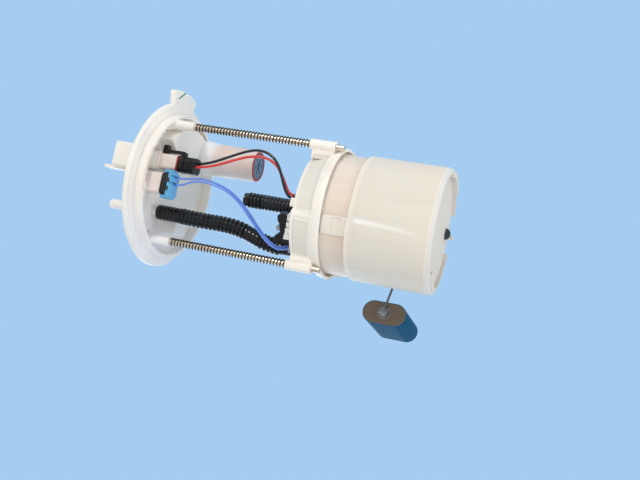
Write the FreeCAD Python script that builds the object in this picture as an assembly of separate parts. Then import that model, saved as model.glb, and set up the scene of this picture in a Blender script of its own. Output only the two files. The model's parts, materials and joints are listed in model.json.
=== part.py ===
# Fuel pump module: a tank flange, two sprung guide rods and a reservoir that they press to the tank's floor.
# Millimetres. The origin is the centre of the flange's sealing face, and +Z points up, out of the tank.
import FreeCAD
import Part
import math
import os
from FreeCAD import Rotation, Vector

# Flange: the rim rests on the tank, and the spigot reaches down into its hole
flange_radius = 70.0
flange_thickness = 4.0
rim_chamfer = 0.7
spigot_radius = 61.0
spigot_depth = 8.5
spigot_wall = 2.5
tab_start_radius = 81.6
tab_start_angle = -20.6
tab_crest_radius = 80.5
tab_crest_angle = -7.0
tab_end_radius = 77.9
tab_end_angle = 8.8
tab_corner = 2.5
ring_radius = 56.0
ring_wall = 1.6
ring_height = 2.0

# Guide rods and their springs
rod_x = 47.8
rod_y = -28.5
rod_radius = 2.35
rod_bottom = -154.3
rod_socket_depth = 21.0
rod_collar_radius = 2.9
rod_collar_length = 1.4
rod_chamfer = 0.5
boss_radius = 3.9
boss_foot_radius = 6.0
boss_foot_depth = 9.0
boss_bottom = -25.2
spring_wire = 0.9
spring_radius = 3.3
slide_clearance = 0.05
press_clearance = 0.02
seat_gap = 0.15
body_gap = 0.3
face_gap = 0.1

# Vent tower with its roll-over valve
vent_x = 33.0
vent_y = 30.0
vent_foot_radius = 16.0
vent_foot_depth = 13.0
vent_root_radius = 14.6
vent_root_depth = 22.0
vent_end_radius = 13.7
vent_bottom = -62.3
vent_bore_radius = 10.6
vent_roof = 3.0
vent_hole_radius = 2.0
vent_insert_radius = 8.0
vent_insert_recess = 1.6
vent_insert_height = 20.0
vent_ring_height = 4.0
vent_float_radius = 9.6
vent_float_height = 17.0
vent_float_travel = 3.0
chamber_inner = 20.0
chamber_outer = 50.0
chamber_start_angle = -48.0
chamber_end_angle = 24.0

# Moulded tower beside the hose
tower_x = -35.5
tower_y = -6.0
tower_width = 11.0
tower_length = 18.0
tower_depth = 20.0
tower_corner = 1.5

# Electrical sockets on the tank side: the pump's and the level sender's
pump_socket_x = 14.0
pump_socket_y = -38.0
pump_socket_width = 12.4
pump_socket_length = 14.0
pump_socket_depth = 24.0
pump_socket_step = 1.4
pump_socket_step_depth = 9.0
pump_plug_bottom = -39.5
pump_seal_height = 1.3
sender_socket_x = -4.8
sender_socket_y = -47.0
sender_socket_width = 16.4
sender_socket_length = 13.6
sender_socket_depth = 19.1
sender_plug_bottom = -28.5
sender_plug_length = 12.4
sender_ear_width = 2.4
sender_seal_height = 5.6
socket_wall = 1.6
socket_corner = 2.6
latch_arm_thickness = 2.4
latch_head_low = -13.1
latch_head_size = 7.0
latch_head_height = 3.8
blade_width = 2.8
blade_thickness = 0.8
blade_pitch = 5.0
sender_blade_width = 1.5

# Electrical shroud and fuel port on the outer side
shroud_x = 13.4
shroud_y = -42.0
shroud_width = 21.0
shroud_length = 18.0
shroud_top = 29.0
shroud_wall = 1.8
shroud_floor = 8.0
shroud_corner = 3.0
latch_fin_top = 38.0
latch_fin_width = 3.0
latch_fin_length = 9.0
port_x = -25.5
port_y = -22.5
port_radius = 4.0
port_top = 39.0
port_bead_radius = 4.9
port_bead_z = 14.0
port_bead_width = 1.5
port_bore_radius = 2.5
barb_radius = 3.8
barb_ridge = 0.5
hose_bore_clearance = 0.05
vapour_port_length = 34.0
vapour_bead_y = 14.0
vapour_dome_radius = 12.0
vapour_dome_height = 14.0
vapour_port_height = 8.0

# Delivery hose and the return hose stub, both convoluted
hose_radius = 6.75
hose_start_z = -6.0
hose_end_z = -117.0
hose_end_x = -35.8
hose_end_y = -18.0
stub_radius = 6.3
stub_bore_radius = 4.0
stub_x = -3.0
stub_y = -22.0
stub_top = -79.5
wire_radius = 1.1
sender_wire_radius = 0.8
lead_radius = 1.3
lead_x = -32.0
lead_y = -25.0

# Elbow that leads the fuel from the pump to the delivery hose
elbow_level = -122.5
elbow_radius = 4.6
elbow_hub_radius = 6.4
elbow_knee_radius = 5.2
elbow_knee_gap = 0.8

# Holder cap that slides on the rods
cap_top = -128.0
cap_top_radius = 44.3
cap_shoulder_z = -145.3
cap_shoulder_radius = 51.4
cap_bottom = -152.4
cap_bottom_radius = 52.9
cap_step = 1.5
cap_wall = 2.2
deck_top = -130.0
deck_thickness = 2.2
bulge_radius = 49.0
bulge_foot_radius = 50.6
bulge_start_angle = -150.0
bulge_end_angle = -102.0
bulge_ramp = 6.0
panel_depth = 0.5
panel_top = -131.0
panel_bottom = -143.2
lug_radius = 4.25
lug_top = -126.4
lug_bottom = -147.3
lug_web = 4.0
lug_web_reach = 11.0
grommet_top = -125.7
clip_top = -125.9
post_top = -124.4

# Inner can, reservoir cup and feet
can_radius = 48.0
can_wall = 1.5
can_top = -146.4
can_collar_depth = 3.0
can_bottom = -225.0
can_hole_radius = 20.0
latch_panel_height = 0.9
latch_start_angle = -115.0
latch_end_angle = -98.0
ear_length = 6.0
ear_reach = 3.2
cup_wall = 1.5
cup_top = -172.35
cup_bottom = -237.2
cup_floor = 1.8
cup_rounding = 3.0
cup_recess = 3.3
cup_rim_width = 4.4
rim_gap_start = 65.0
rim_gap_end = 106.0
swell_start_angle = -148.0
swell_end_angle = -108.5
swell_ramp = 11.0
swell_height = 1.5
swell_length = 54.0
foot_height = 1.2
valve_x = 2.5
valve_y = 31.0
valve_radius = 4.8

# Pump in the middle of the can
pump_radius = 19.0
pump_shell_wall = 1.2
pump_shell_top = -152.0
pump_shell_bottom = -218.0
pump_cover_height = 8.0
pump_nipple_radius = 4.0
armature_radius = 12.6
magnet_radius = 13.4
shaft_radius = 1.5
impeller_radius = 15.0
impeller_height = 3.2
impeller_slots = 20
filter_inner = 24.0
filter_folds = 30
filter_paper_gap = 1.6
filter_ring_height = 1.8
regulator_x = 28.0
regulator_y = 12.0
regulator_radius = 7.5
regulator_height = 12.0
strainer_x = 14.0
strainer_y = -8.0
strainer_width = 44.0
strainer_length = 30.0
strainer_height = 3.6
jet_x = -30.0
jet_y = -17.0
jet_length = 34.0
jet_radius = 3.0

# Level sender on the far side, with its float
sender_angle = 103.0
pivot_t = -20.0
pivot_z = -203.8
housing_depth = 4.7
housing_t0 = -36.0
housing_t1 = 6.0
housing_bottom = -214.0
housing_top = -180.0
card_thickness = 0.7
arm_length = 78.2
arm_angle = 7.5
arm_wire_radius = 0.95
arm_bend_radius = 3.2
hub_radius = 6.5
pivot_radius = 2.0
float_length = 57.0
float_height = 38.0
float_width = 19.6
float_tilt = 4.0
float_chamfer = 1.0
retainer_radius = 4.4

# Places that follow from the sizes above
rod_places = (("upper", rod_x), ("lower", -rod_x))
cup_inner = can_radius + body_gap
cup_outer = cup_inner + cup_wall
ground = cup_bottom - foot_height
recess_radius = cup_outer - cup_rim_width
foot_inner = recess_radius - 2.4
foot_outer = cup_outer - 3.4
foot_places = ((8, 56), (88, 4), (200, 40))
floor_low = cup_bottom + cup_recess
floor_top = floor_low + cup_floor
filter_outer = can_radius - 3.5
filter_low = can_bottom + can_wall + 4.0
filter_high = deck_top - deck_thickness - 22.0
housing_face = cup_outer + housing_depth
arm_plane = housing_face + 4.5
hub_front = housing_face + 6.5
float_near = housing_face + 7.1
deck_ceiling = deck_top - deck_thickness
block_angle = -117.0
block_inner = cap_top_radius - 4.8
block_outer = cap_top_radius + 1.2


def upright(radius, low, high, x=0.0, y=0.0):
    return Part.makeCylinder(radius, high - low, Vector(x, y, low))


def pipe(outer, inner, low, high, x=0.0, y=0.0):
    return upright(outer, low, high, x, y).cut(upright(inner, low, high, x, y))


def block(x0, x1, y0, y1, low, high):
    return Part.makeBox(x1 - x0, y1 - y0, high - low, Vector(x0, y0, low))


def upright_edges(shape):
    return [edge for edge in shape.Edges if abs(edge.tangentAt(edge.FirstParameter).z) > 0.99]


def soft_block(x, y, width, length, low, high, corner):
    """A block with rounded upright corners, centred on x, y."""
    shape = block(x - width / 2, x + width / 2, y - length / 2, y + length / 2, low, high)
    return shape.makeFillet(corner, upright_edges(shape))


def turned(profile, x=0.0, y=0.0, start=0.0, sweep=360.0):
    """Turn a closed outline of (radius, height) points about the upright axis through x, y."""
    points = [Vector(radius, 0, height) for radius, height in profile]
    face = Part.Face(Part.makePolygon(points + points[:1]))
    shape = face.revolve(Vector(0, 0, 0), Vector(0, 0, 1), sweep)
    shape.rotate(Vector(0, 0, 0), Vector(0, 0, 1), start)
    shape.translate(Vector(x, y, 0))
    return shape


def sector(inner, outer, low, high, start, end):
    outline = [(inner, low), (outer, low), (outer, high), (inner, high)]
    return turned(outline, start=start, sweep=end - start)


def prism(points, low, high):
    corners = [Vector(x, y, low) for x, y in points]
    return Part.Face(Part.makePolygon(corners + corners[:1])).extrude(Vector(0, 0, high - low))


def polar(radius, angle, z=0.0):
    turn = math.radians(angle)
    return Vector(radius * math.cos(turn), radius * math.sin(turn), z)


def turn_to(shape, angle):
    shape.rotate(Vector(0, 0, 0), Vector(0, 0, 1), angle)
    return shape


def eight_sided(radius, place, direction):
    """An eight-sided outline across a direction, of the same area as a circle of this radius."""
    reach = radius * math.sqrt(math.pi / (4 * math.sin(math.pi / 4)))
    side = direction.cross(Vector(0.3, 1, 0.2)).normalize()
    across = Vector(direction).normalize().cross(side)
    corners = []
    for step in range(8):
        turn = step * math.pi / 4
        corners.append(place + side * (reach * math.cos(turn)) + across * (reach * math.sin(turn)))
    return Part.makePolygon(corners + corners[:1])


def tube_along(points, radius, name):
    """A round tube along straight runs joined by tangent arcs, as large as the runs allow."""
    points = [Vector(*point) for point in points]
    edges = []
    radii = []
    here = points[0]
    for before, corner, after in zip(points, points[1:], points[2:]):
        back = (before - corner).normalize()
        ahead = (after - corner).normalize()
        half_turn = (math.pi - back.getAngle(ahead)) / 2
        reach = 0.45 * min((before - corner).Length, (after - corner).Length)
        arc_radius = reach / math.tan(half_turn)
        middle = (back + ahead).normalize() * (arc_radius / math.cos(half_turn) - arc_radius)
        start = corner + back * reach
        end = corner + ahead * reach
        edges.append(Part.LineSegment(here, start).toShape())
        edges.append(Part.Arc(start, corner + middle, end).toShape())
        radii.append(round(arc_radius, 1))
        here = end
    edges.append(Part.LineSegment(here, points[-1]).toShape())
    path = Part.Wire(edges)
    tube = path.makePipeShell([eight_sided(radius, points[0], points[1] - points[0])], True, False)
    share = tube.Volume / (math.pi * radius ** 2 * path.Length)
    print(name, "length", round(path.Length, 1), "radii", radii, "volume share", round(share, 4))
    return tube


def to_sender(shape):
    """Place a shape drawn with X along the sender's outward line and Y along its tangent."""
    return turn_to(shape, sender_angle)


def export(name, shape):
    if shape.ShapeType == "Compound" and len(shape.Solids) == 1:
        shape = shape.Solids[0]
    shape.exportStep("parts/" + name + ".step")
    print(name, "solids", len(shape.Solids), "valid", shape.isValid(), "volume", round(shape.Volume, 1))


def barb_profile(low, high, ridges):
    """Outline of a hose barb that points down from high to low, with saw-tooth ridges."""
    step = (high - low) / ridges
    points = [(port_bore_radius, high), (barb_radius - barb_ridge, high)]
    for count in range(ridges):
        top = high - count * step
        points.append((barb_radius - barb_ridge, top - step * 0.4))
        points.append((barb_radius, top - step * 0.4))
        points.append((barb_radius - barb_ridge, top - step * 0.95))
    points.append((barb_radius - barb_ridge, low))
    points.append((port_bore_radius, low))
    return points


def sender_blades(grow=0.0):
    """Two bent terminals that step from the sender's socket to the outer shroud, inside the flange."""
    shapes = []
    for sign in (-1, 1):
        x_in = sender_socket_x + sign * blade_pitch / 2
        x_out = shroud_x - sign * blade_pitch * 0.7
        y = sender_socket_y + 1.0 + sign * 1.2
        half = sender_blade_width / 2 + grow
        thick = blade_thickness / 2 + grow
        middle = flange_thickness / 2
        down = block(x_in - half, x_in + half, y - half, y + half, -sender_socket_depth + 5, middle + thick)
        across = block(x_in - half, x_out + half, y - half, y + half, middle - thick, middle + thick)
        up = block(x_out - half, x_out + half, y - half, y + half, middle - thick, shroud_top - 9)
        shapes.append(down.fuse([across, up]).removeSplitter())
    return shapes


def pump_blades(grow=0.0):
    """Two straight terminals through the flange, from the pump's socket to the outer shroud."""
    shapes = []
    for sign in (-1, 1):
        x = pump_socket_x + sign * blade_pitch / 2
        half = blade_thickness / 2 + grow
        wide = blade_width / 2 + grow
        shapes.append(block(x - half, x + half, pump_socket_y - wide, pump_socket_y + wide,
                            -pump_socket_depth + 6, shroud_top - 9))
    return shapes


def socket(x, y, width, length, depth):
    """A socket wall that hangs from the flange, with its hollow."""
    outer = soft_block(x, y, width, length, -depth, 0.5, socket_corner)
    hollow = soft_block(x, y, width - 2 * socket_wall, length - 2 * socket_wall, -depth - 1, -1.0,
                        socket_corner - socket_wall)
    return outer, hollow


def tab_plate():
    """The flange's tab: its outer edge is an arc that comes nearer to the rim at one end."""
    inner_start = polar(spigot_radius, tab_start_angle)
    inner_end = polar(spigot_radius, tab_end_angle)
    start = polar(tab_start_radius, tab_start_angle)
    crest = polar(tab_crest_radius, tab_crest_angle)
    end = polar(tab_end_radius, tab_end_angle)
    outline = Part.Wire([Part.makeLine(inner_start, start), Part.Arc(start, crest, end).toShape(),
                         Part.makeLine(end, inner_end), Part.makeLine(inner_end, inner_start)])
    tab = Part.Face(outline).extrude(Vector(0, 0, flange_thickness))
    corner = [edge for edge in upright_edges(tab) if (edge.CenterOfMass - start).Length < flange_thickness]
    return tab.makeFillet(tab_corner, corner)


def flange_plate():
    rim = turned([(0, 0), (flange_radius, 0), (flange_radius, flange_thickness), (0, flange_thickness)])
    rim = rim.makeChamfer(rim_chamfer, [edge for edge in rim.Edges if edge.Length > 6 * flange_radius])
    spigot = pipe(spigot_radius, spigot_radius - spigot_wall, -spigot_depth, 0.5)
    ring = pipe(ring_radius, ring_radius - ring_wall, flange_thickness - 0.5, flange_thickness + ring_height)
    pieces = [tab_plate(), spigot, ring]
    for name, x in rod_places:
        boss = turned([(0, 0.5), (boss_foot_radius, 0.5), (boss_foot_radius, -1),
                       (boss_radius, -boss_foot_depth), (boss_radius, boss_bottom), (0, boss_bottom)],
                      x, rod_y)
        pieces.append(boss.common(upright(spigot_radius, boss_bottom - 1, 0.5)))
    foot = upright(vent_foot_radius, -vent_foot_depth, 0.5, vent_x, vent_y)
    chamber = sector(chamber_inner, chamber_outer, -vent_foot_depth, 0.5, chamber_start_angle,
                     chamber_end_angle)
    within = upright(spigot_radius, -vent_foot_depth, 0.5)
    pieces.append(foot.fuse(chamber).common(within))
    tower = soft_block(tower_x, tower_y, tower_width, tower_length, -tower_depth, 0.5, tower_corner)
    pieces.append(tower)
    pump_outer, pump_hollow = socket(pump_socket_x, pump_socket_y, pump_socket_width, pump_socket_length,
                                     pump_socket_depth)
    step = soft_block(pump_socket_x, pump_socket_y, pump_socket_width + 2 * pump_socket_step,
                      pump_socket_length + 2 * pump_socket_step, -pump_socket_step_depth, 0.5, socket_corner)
    sender_outer, sender_hollow = socket(sender_socket_x, sender_socket_y, sender_socket_width,
                                         sender_socket_length, sender_socket_depth)
    rib = soft_block(sender_socket_x - 7.6, sender_socket_y - 7.6, 12.5, 6.0, -7.5, 0.5, 2.4)
    pieces += [pump_outer, step, sender_outer, rib.common(within)]
    shroud = soft_block(shroud_x, shroud_y, shroud_width, shroud_length, flange_thickness - 0.5, shroud_top,
                        shroud_corner)
    shroud_hollow = soft_block(shroud_x, shroud_y, shroud_width - 2 * shroud_wall,
                               shroud_length - 2 * shroud_wall, shroud_floor, shroud_top + 1,
                               shroud_corner - shroud_wall)
    fin_x = shroud_x - shroud_width / 2
    fin = block(fin_x - latch_fin_width / 2, fin_x + shroud_wall / 2, shroud_y - latch_fin_length / 2,
                shroud_y + latch_fin_length / 2, shroud_top - 12, latch_fin_top)
    pieces += [shroud, fin]
    port = turned([(0, flange_thickness - 0.5), (port_radius + 2.5, flange_thickness - 0.5),
                   (port_radius + 2.5, flange_thickness + 3), (port_radius, flange_thickness + 5),
                   (port_radius, port_bead_z), (port_bead_radius, port_bead_z),
                   (port_bead_radius, port_bead_z + port_bead_width),
                   (port_radius, port_bead_z + port_bead_width), (port_radius, port_top - 1),
                   (port_radius - 0.8, port_top), (0, port_top)], port_x, port_y)
    barb = turned([(0, 0.5), (port_radius + 1.5, 0.5), (port_radius + 1.5, -1.5), (barb_radius, -1.5),
                   (barb_radius, hose_start_z + 0.5), (0, hose_start_z + 0.5)], port_x, port_y)
    dome = turned([(0, flange_thickness - 0.5), (vapour_dome_radius, flange_thickness - 0.5),
                   (vapour_dome_radius, flange_thickness + vapour_dome_height - 4),
                   (vapour_dome_radius - 4, flange_thickness + vapour_dome_height),
                   (0, flange_thickness + vapour_dome_height)], vent_x, vent_y)
    vapour_z = flange_thickness + vapour_port_height
    outwards = Vector(0, 1, 0)
    vapour_start = Vector(vent_x, vent_y, vapour_z)
    vapour = Part.makeCylinder(port_radius, vapour_port_length, vapour_start, outwards)
    bead_start = vapour_start + outwards * vapour_bead_y
    bead = Part.makeCylinder(port_bead_radius, port_bead_width, bead_start, outwards)
    pieces += [port, barb, dome, vapour, bead]
    body = rim.fuse(pieces)
    spike = turned(barb_profile(hose_start_z - 12, hose_start_z + 0.5, 4), port_x, port_y)
    bore = upright(port_bore_radius, hose_start_z - 1, port_top + 1, port_x, port_y)
    cuts = [pump_hollow, sender_hollow, shroud_hollow]
    for name, x in rod_places:
        socket_top = boss_bottom + rod_socket_depth
        cuts.append(upright(rod_radius + press_clearance, boss_bottom - 1, socket_top, x, rod_y))
    vapour_bore = Part.makeCylinder(port_bore_radius, vapour_port_length + 2, vapour_start, outwards)
    vent_bore = upright(vent_hole_radius, -vent_foot_depth - 1, vapour_z, vent_x, vent_y)
    cuts += [vapour_bore, vent_bore, bore]
    cuts += sender_blades(slide_clearance) + pump_blades(slide_clearance)
    body = body.cut(cuts)
    return body.fuse(spike).removeSplitter()


def guide_rod(x):
    top = boss_bottom + rod_socket_depth - seat_gap
    collar_top = lug_bottom - body_gap
    collar_bottom = collar_top - rod_collar_length
    profile = [(0, top), (rod_radius, top), (rod_radius, collar_top), (rod_collar_radius, collar_top),
               (rod_collar_radius, collar_bottom), (rod_radius, collar_bottom),
               (rod_radius, rod_bottom + rod_chamfer), (rod_radius - rod_chamfer, rod_bottom),
               (0, rod_bottom)]
    return turned(profile, x, rod_y)


def spring(x):
    """The coil's outline: its outer and inner diameters over its length."""
    low = lug_top + seat_gap
    return pipe(spring_radius, spring_radius - spring_wire, low, boss_bottom - seat_gap, x, rod_y)


def vent_tube():
    low_bore = vent_bottom - 1
    roof = -vent_foot_depth - vent_roof
    shell = turned([(0, -vent_foot_depth), (vent_foot_radius, -vent_foot_depth),
                    (vent_root_radius, -vent_root_depth), (vent_end_radius, vent_bottom), (0, vent_bottom)],
                   vent_x, vent_y)
    shell = shell.cut(upright(vent_bore_radius, low_bore, roof, vent_x, vent_y))
    return shell.cut(upright(vent_hole_radius, low_bore, 0, vent_x, vent_y))


def vent_ring():
    low = vent_bottom + 0.8
    high = low + vent_ring_height
    return pipe(vent_bore_radius - 0.05, vent_insert_radius + 0.05, low, high, vent_x, vent_y)


def vent_insert():
    low = vent_bottom + vent_insert_recess
    high = low + vent_insert_height
    ring_top = vent_bottom + 0.8 + vent_ring_height + 0.1
    body = upright(vent_insert_radius, low, high, vent_x, vent_y)
    collar = upright(vent_bore_radius - 0.1, ring_top, high, vent_x, vent_y)
    body = body.fuse(collar)
    slot_half = 1.1
    reach = vent_insert_radius - 2.0
    for size_x, size_y in ((reach, slot_half), (slot_half, reach)):
        slot = block(vent_x - size_x, vent_x + size_x, vent_y - size_y, vent_y + size_y, low - 1, low + 3)
        body = body.cut(slot)
    well = upright(vent_insert_radius - 2.0, high - 6, high + 1, vent_x, vent_y)
    return body.cut(well).removeSplitter()


def vent_float():
    """The valve's float, with a tapered needle under the vent hole."""
    low = vent_bottom + vent_insert_recess + vent_insert_height + seat_gap
    high = low + vent_float_height
    seat = -vent_foot_depth - vent_roof - vent_float_travel - body_gap
    profile = [(0, low), (vent_float_radius, low), (vent_float_radius, high - 1.5),
               (vent_float_radius - 1.5, high), (vent_hole_radius + 1.5, high), (vent_hole_radius - 1, seat),
               (0, seat)]
    return turned(profile, vent_x, vent_y)


def pump_plug():
    """Black plug body in the pump's socket: a round collar, a waist and a ribbed end for the wires."""
    x, y = pump_socket_x, pump_socket_y
    nose_width = pump_socket_width - 2 * socket_wall - 0.4
    nose_length = pump_socket_length - 2 * socket_wall - 0.4
    face = -pump_socket_depth - pump_seal_height - 2 * face_gap
    nose = soft_block(x, y, nose_width, nose_length, face - 0.5, -pump_socket_depth + 7.5, 0.8)
    collar = soft_block(x, y, pump_socket_width + 0.8, pump_socket_length + 1.0, face - 4.6, face, 4.6)
    core = soft_block(x, y, pump_socket_width - 1.4, pump_socket_length - 1.6, pump_plug_bottom + 0.4,
                      face - 4, 3.4)
    ribs = []
    for low, high in ((face - 8.2, face - 5.6), (face - 11.0, face - 9.1), (pump_plug_bottom, face - 11.9)):
        ribs.append(soft_block(x, y, pump_socket_width + 0.4, pump_socket_length - 0.4, low, high, 4.2))
    return collar.fuse([nose, core] + ribs).cut(pump_blades(face_gap)).removeSplitter()


def pump_plug_latch():
    """The plug's lock arm: it lies along the socket's side and hooks towards the flange."""
    side = pump_socket_x + pump_socket_width / 2
    arm_in = side + 1.5
    arm_out = arm_in + latch_arm_thickness
    y0 = pump_socket_y - 4.4
    y1 = pump_socket_y + 0.4
    foot_low = -pump_socket_depth - pump_seal_height - 4.2
    head_in = side + body_gap
    foot = block(side + 0.4 + face_gap, arm_out, y0, y1, foot_low, foot_low + 4.2)
    corner = [edge for edge in foot.Edges if edge.CenterOfMass.x > arm_out - 0.1
              and edge.CenterOfMass.z < foot_low + 0.1]
    foot = foot.makeFillet(1.6, corner)
    arm = block(arm_in, arm_out, y0, y1, foot_low + 2.5, latch_head_low + 1)
    head = block(head_in, head_in + latch_head_size, y0 - 0.4, y1 + 0.4, latch_head_low,
                 latch_head_low + latch_head_height)
    head = head.makeChamfer(0.5, upright_edges(head))
    return foot.fuse([arm, head]).removeSplitter()


def socket_seal(x, y, width, length, high, height):
    """A rubber ring against a socket's mouth, round the plug's nose."""
    low = high - height
    inner_width = width - 2 * socket_wall - 0.3
    inner_length = length - 2 * socket_wall - 0.3
    outer = soft_block(x, y, width + 0.6, length + 0.6, low, high, socket_corner)
    return outer.cut(soft_block(x, y, inner_width, inner_length, low - 1, high + 1, 0.8))


def sender_plug():
    """Blue plug behind its black seal, with an ear along each side and three teeth at the wires."""
    x, y = sender_socket_x, sender_socket_y
    seal_low = -sender_socket_depth - face_gap - sender_seal_height
    nose_width = sender_socket_width - 2 * socket_wall - 0.4
    nose_length = sender_socket_length - 2 * socket_wall - 0.4
    near = y - sender_socket_length / 2 - 0.2
    middle = near + sender_plug_length / 2
    nose = soft_block(x, y, nose_width, nose_length, seal_low - 0.5, -sender_socket_depth + 7.5, 0.6)
    body = soft_block(x, middle, sender_socket_width + 2.8, sender_plug_length, sender_plug_bottom,
                      seal_low - face_gap, 1.8)
    ears = []
    for sign, low in ((1, sender_plug_bottom + 0.8), (-1, sender_plug_bottom)):
        centre = x + sign * (sender_socket_width / 2 + 0.7 + sender_ear_width / 2)
        ears.append(soft_block(centre, middle - 1.0, sender_ear_width, sender_plug_length - 3.0, low,
                               -sender_socket_depth - 1.6, 0.9))
    shape = body.fuse([nose] + ears)
    for along, width in ((6.6, 1.8), (1.3, 2.2)):
        shape = shape.cut(block(x + along - width / 2, x + along + width / 2, near - 1, near + 9.0,
                                sender_plug_bottom - 1, sender_plug_bottom + 1.7))
    return shape.cut(sender_blades(face_gap)).removeSplitter()


def cord_routes():
    """Hand-chosen route points of each wire and hose between the flange and the reservoir."""
    pump_exit = pump_plug_bottom - face_gap
    sender_exit = sender_plug_bottom - face_gap
    return {
        "delivery_hose": (hose_radius, [
            (port_x, port_y, hose_start_z), (port_x, port_y, -24), (-26.3, -21.4, -45), (-25.7, -20.4, -66),
            (-27.2, -19.7, -80), (-31.4, -18.9, -92.5), (-35.0, -18.2, -104.5),
            (hose_end_x, hose_end_y, hose_end_z)]),
        "pump_wire_black": (wire_radius, [
            (16.6, -36.6, pump_exit), (17.9, -36.8, -49.4), (23.4, -37.2, -61.5), (29.8, -37.2, -75),
            (33.2, -37.0, -88), (31.6, -36.8, -100), (25.8, -36.6, -108.5), (16.4, -36.0, -113.7),
            (7.2, -35.2, -118.6), (3.4, -34.4, -124.6)]),
        "pump_wire_red": (wire_radius, [
            (13.4, -40.2, pump_exit), (14.4, -40.3, -48.8), (18.4, -40.3, -59.5), (24.6, -40.2, -71),
            (29.2, -40.0, -82), (30.2, -39.8, -93), (27.4, -39.6, -102.5), (21.6, -39.3, -109.6),
            (13.2, -38.9, -115.4), (7.0, -38.4, -119.6), (4.4, -37.9, -124.6)]),
        "sender_wire_1": (sender_wire_radius, [
            (1.3, -46.6, sender_exit), (1.9, -46.1, -37.5), (3.6, -44.7, -47.5), (3.9, -43.2, -57),
            (1.6, -41.6, -67), (-3.4, -39.8, -78), (-11.0, -37.6, -88), (-19.5, -35.6, -97.5),
            (-27.8, -33.4, -106.5), (-33.6, -31.2, -114), (-35.2, -28.8, -120), (-33.9, -26.6, -125)]),
        "sender_wire_2": (sender_wire_radius, [
            (-4.9, -47.6, sender_exit), (-4.2, -47.2, -36.2), (-1.0, -46.3, -44.0), (1.2, -45.4, -51),
            (1.6, -44.2, -58), (-0.8, -42.8, -68), (-5.8, -41.2, -78.5), (-13.2, -39.2, -88.3),
            (-21.6, -37.2, -97.8), (-30.0, -35.3, -106.5), (-36.0, -33.4, -114.2), (-37.6, -31.0, -120),
            (-36.3, -28.6, -125)]),
        "sender_lead": (lead_radius, [
            (lead_x, lead_y, -126.4), (-28.6, -22.2, -127.8), (-27.0, -17.5, -128.6), (-28.6, -10, -128.65),
            (-31.6, 0, -128.65), (-31.4, 11, -128.65), (-27.0, 22, -128.6), (-20.6, 31.5, -128.4),
            (-16.0, 39.5, -125.6), (-13.6, 47.5, -124.6), (-12.8, 54.2, -128.6), (-12.7, 57.0, -138),
            (-12.8, 57.2, -150), (-12.5, 55.4, -162), (-12.1, 53.0, -172), (-12.0, 52.4, -179.9)]),
    }


def bulge_end():
    """A wedge that cuts the bulge's end to a ramp that rises from the wall."""
    foot = polar(cap_top_radius - 1.0, bulge_end_angle + bulge_ramp)
    crest = polar(bulge_radius + 1.0, bulge_end_angle)
    slope = (crest - foot).normalize()
    near = foot - slope * 12
    far = crest + slope * 12
    side = far + polar(40.0, bulge_end_angle + 60)
    back = near + polar(40.0, bulge_end_angle + 60)
    outline = [(near.x, near.y), (far.x, far.y), (side.x, side.y), (back.x, back.y)]
    return prism(outline, cap_bottom - 1, cap_top + 1)


def cap_outside():
    """The cap's solid outside: a flared wall with a stepped skirt, and the bulge beside the wires."""
    wall = turned([(0, cap_top), (cap_top_radius, cap_top), (cap_shoulder_radius - cap_step, cap_shoulder_z),
                   (cap_shoulder_radius, cap_shoulder_z), (cap_bottom_radius, cap_bottom + 0.8),
                   (cap_bottom_radius - 0.3, cap_bottom), (0, cap_bottom)])
    core = cap_top_radius - 6.0
    sweep = bulge_end_angle - bulge_start_angle
    bulge = turned([(core, cap_top), (bulge_radius - 0.6, cap_top), (bulge_radius, cap_top - 0.6),
                    (bulge_foot_radius, cap_shoulder_z), (bulge_foot_radius, cap_bottom + 1),
                    (core, cap_bottom + 1)], start=bulge_start_angle, sweep=sweep + 14)
    bulge = bulge.cut(bulge_end())
    panel = turned([(bulge_radius + 0.2 - panel_depth, panel_top), (bulge_radius + 5, panel_top),
                    (bulge_radius + 5, panel_bottom), (bulge_foot_radius - 0.2 - panel_depth, panel_bottom)],
                   start=bulge_start_angle + 3.0, sweep=sweep - 5.0)
    return wall.fuse(bulge.cut(panel))


def cap_hollows():
    """The hollow under the deck, the bulge's hollow, and the pocket above the deck."""
    slope = (cap_shoulder_radius - cap_top_radius) / (cap_top - cap_shoulder_z)
    top_inner = cap_top_radius - cap_wall + slope * (cap_top - deck_ceiling)
    hollow = turned([(0, deck_ceiling), (top_inner, deck_ceiling),
                     (cap_shoulder_radius - cap_wall, cap_shoulder_z),
                     (cap_bottom_radius - cap_wall, cap_bottom - 1), (0, cap_bottom - 1)])
    bulge_hollow = turned([(0, deck_ceiling), (bulge_radius - cap_wall, deck_ceiling),
                           (bulge_foot_radius - cap_wall, cap_shoulder_z),
                           (bulge_foot_radius - cap_wall, cap_bottom), (0, cap_bottom)],
                          start=bulge_start_angle + 2.5, sweep=bulge_end_angle - bulge_start_angle - 5.0)
    pocket = upright(cap_top_radius - cap_wall, deck_top, cap_top + 1)
    return [hollow, bulge_hollow, pocket]


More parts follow.
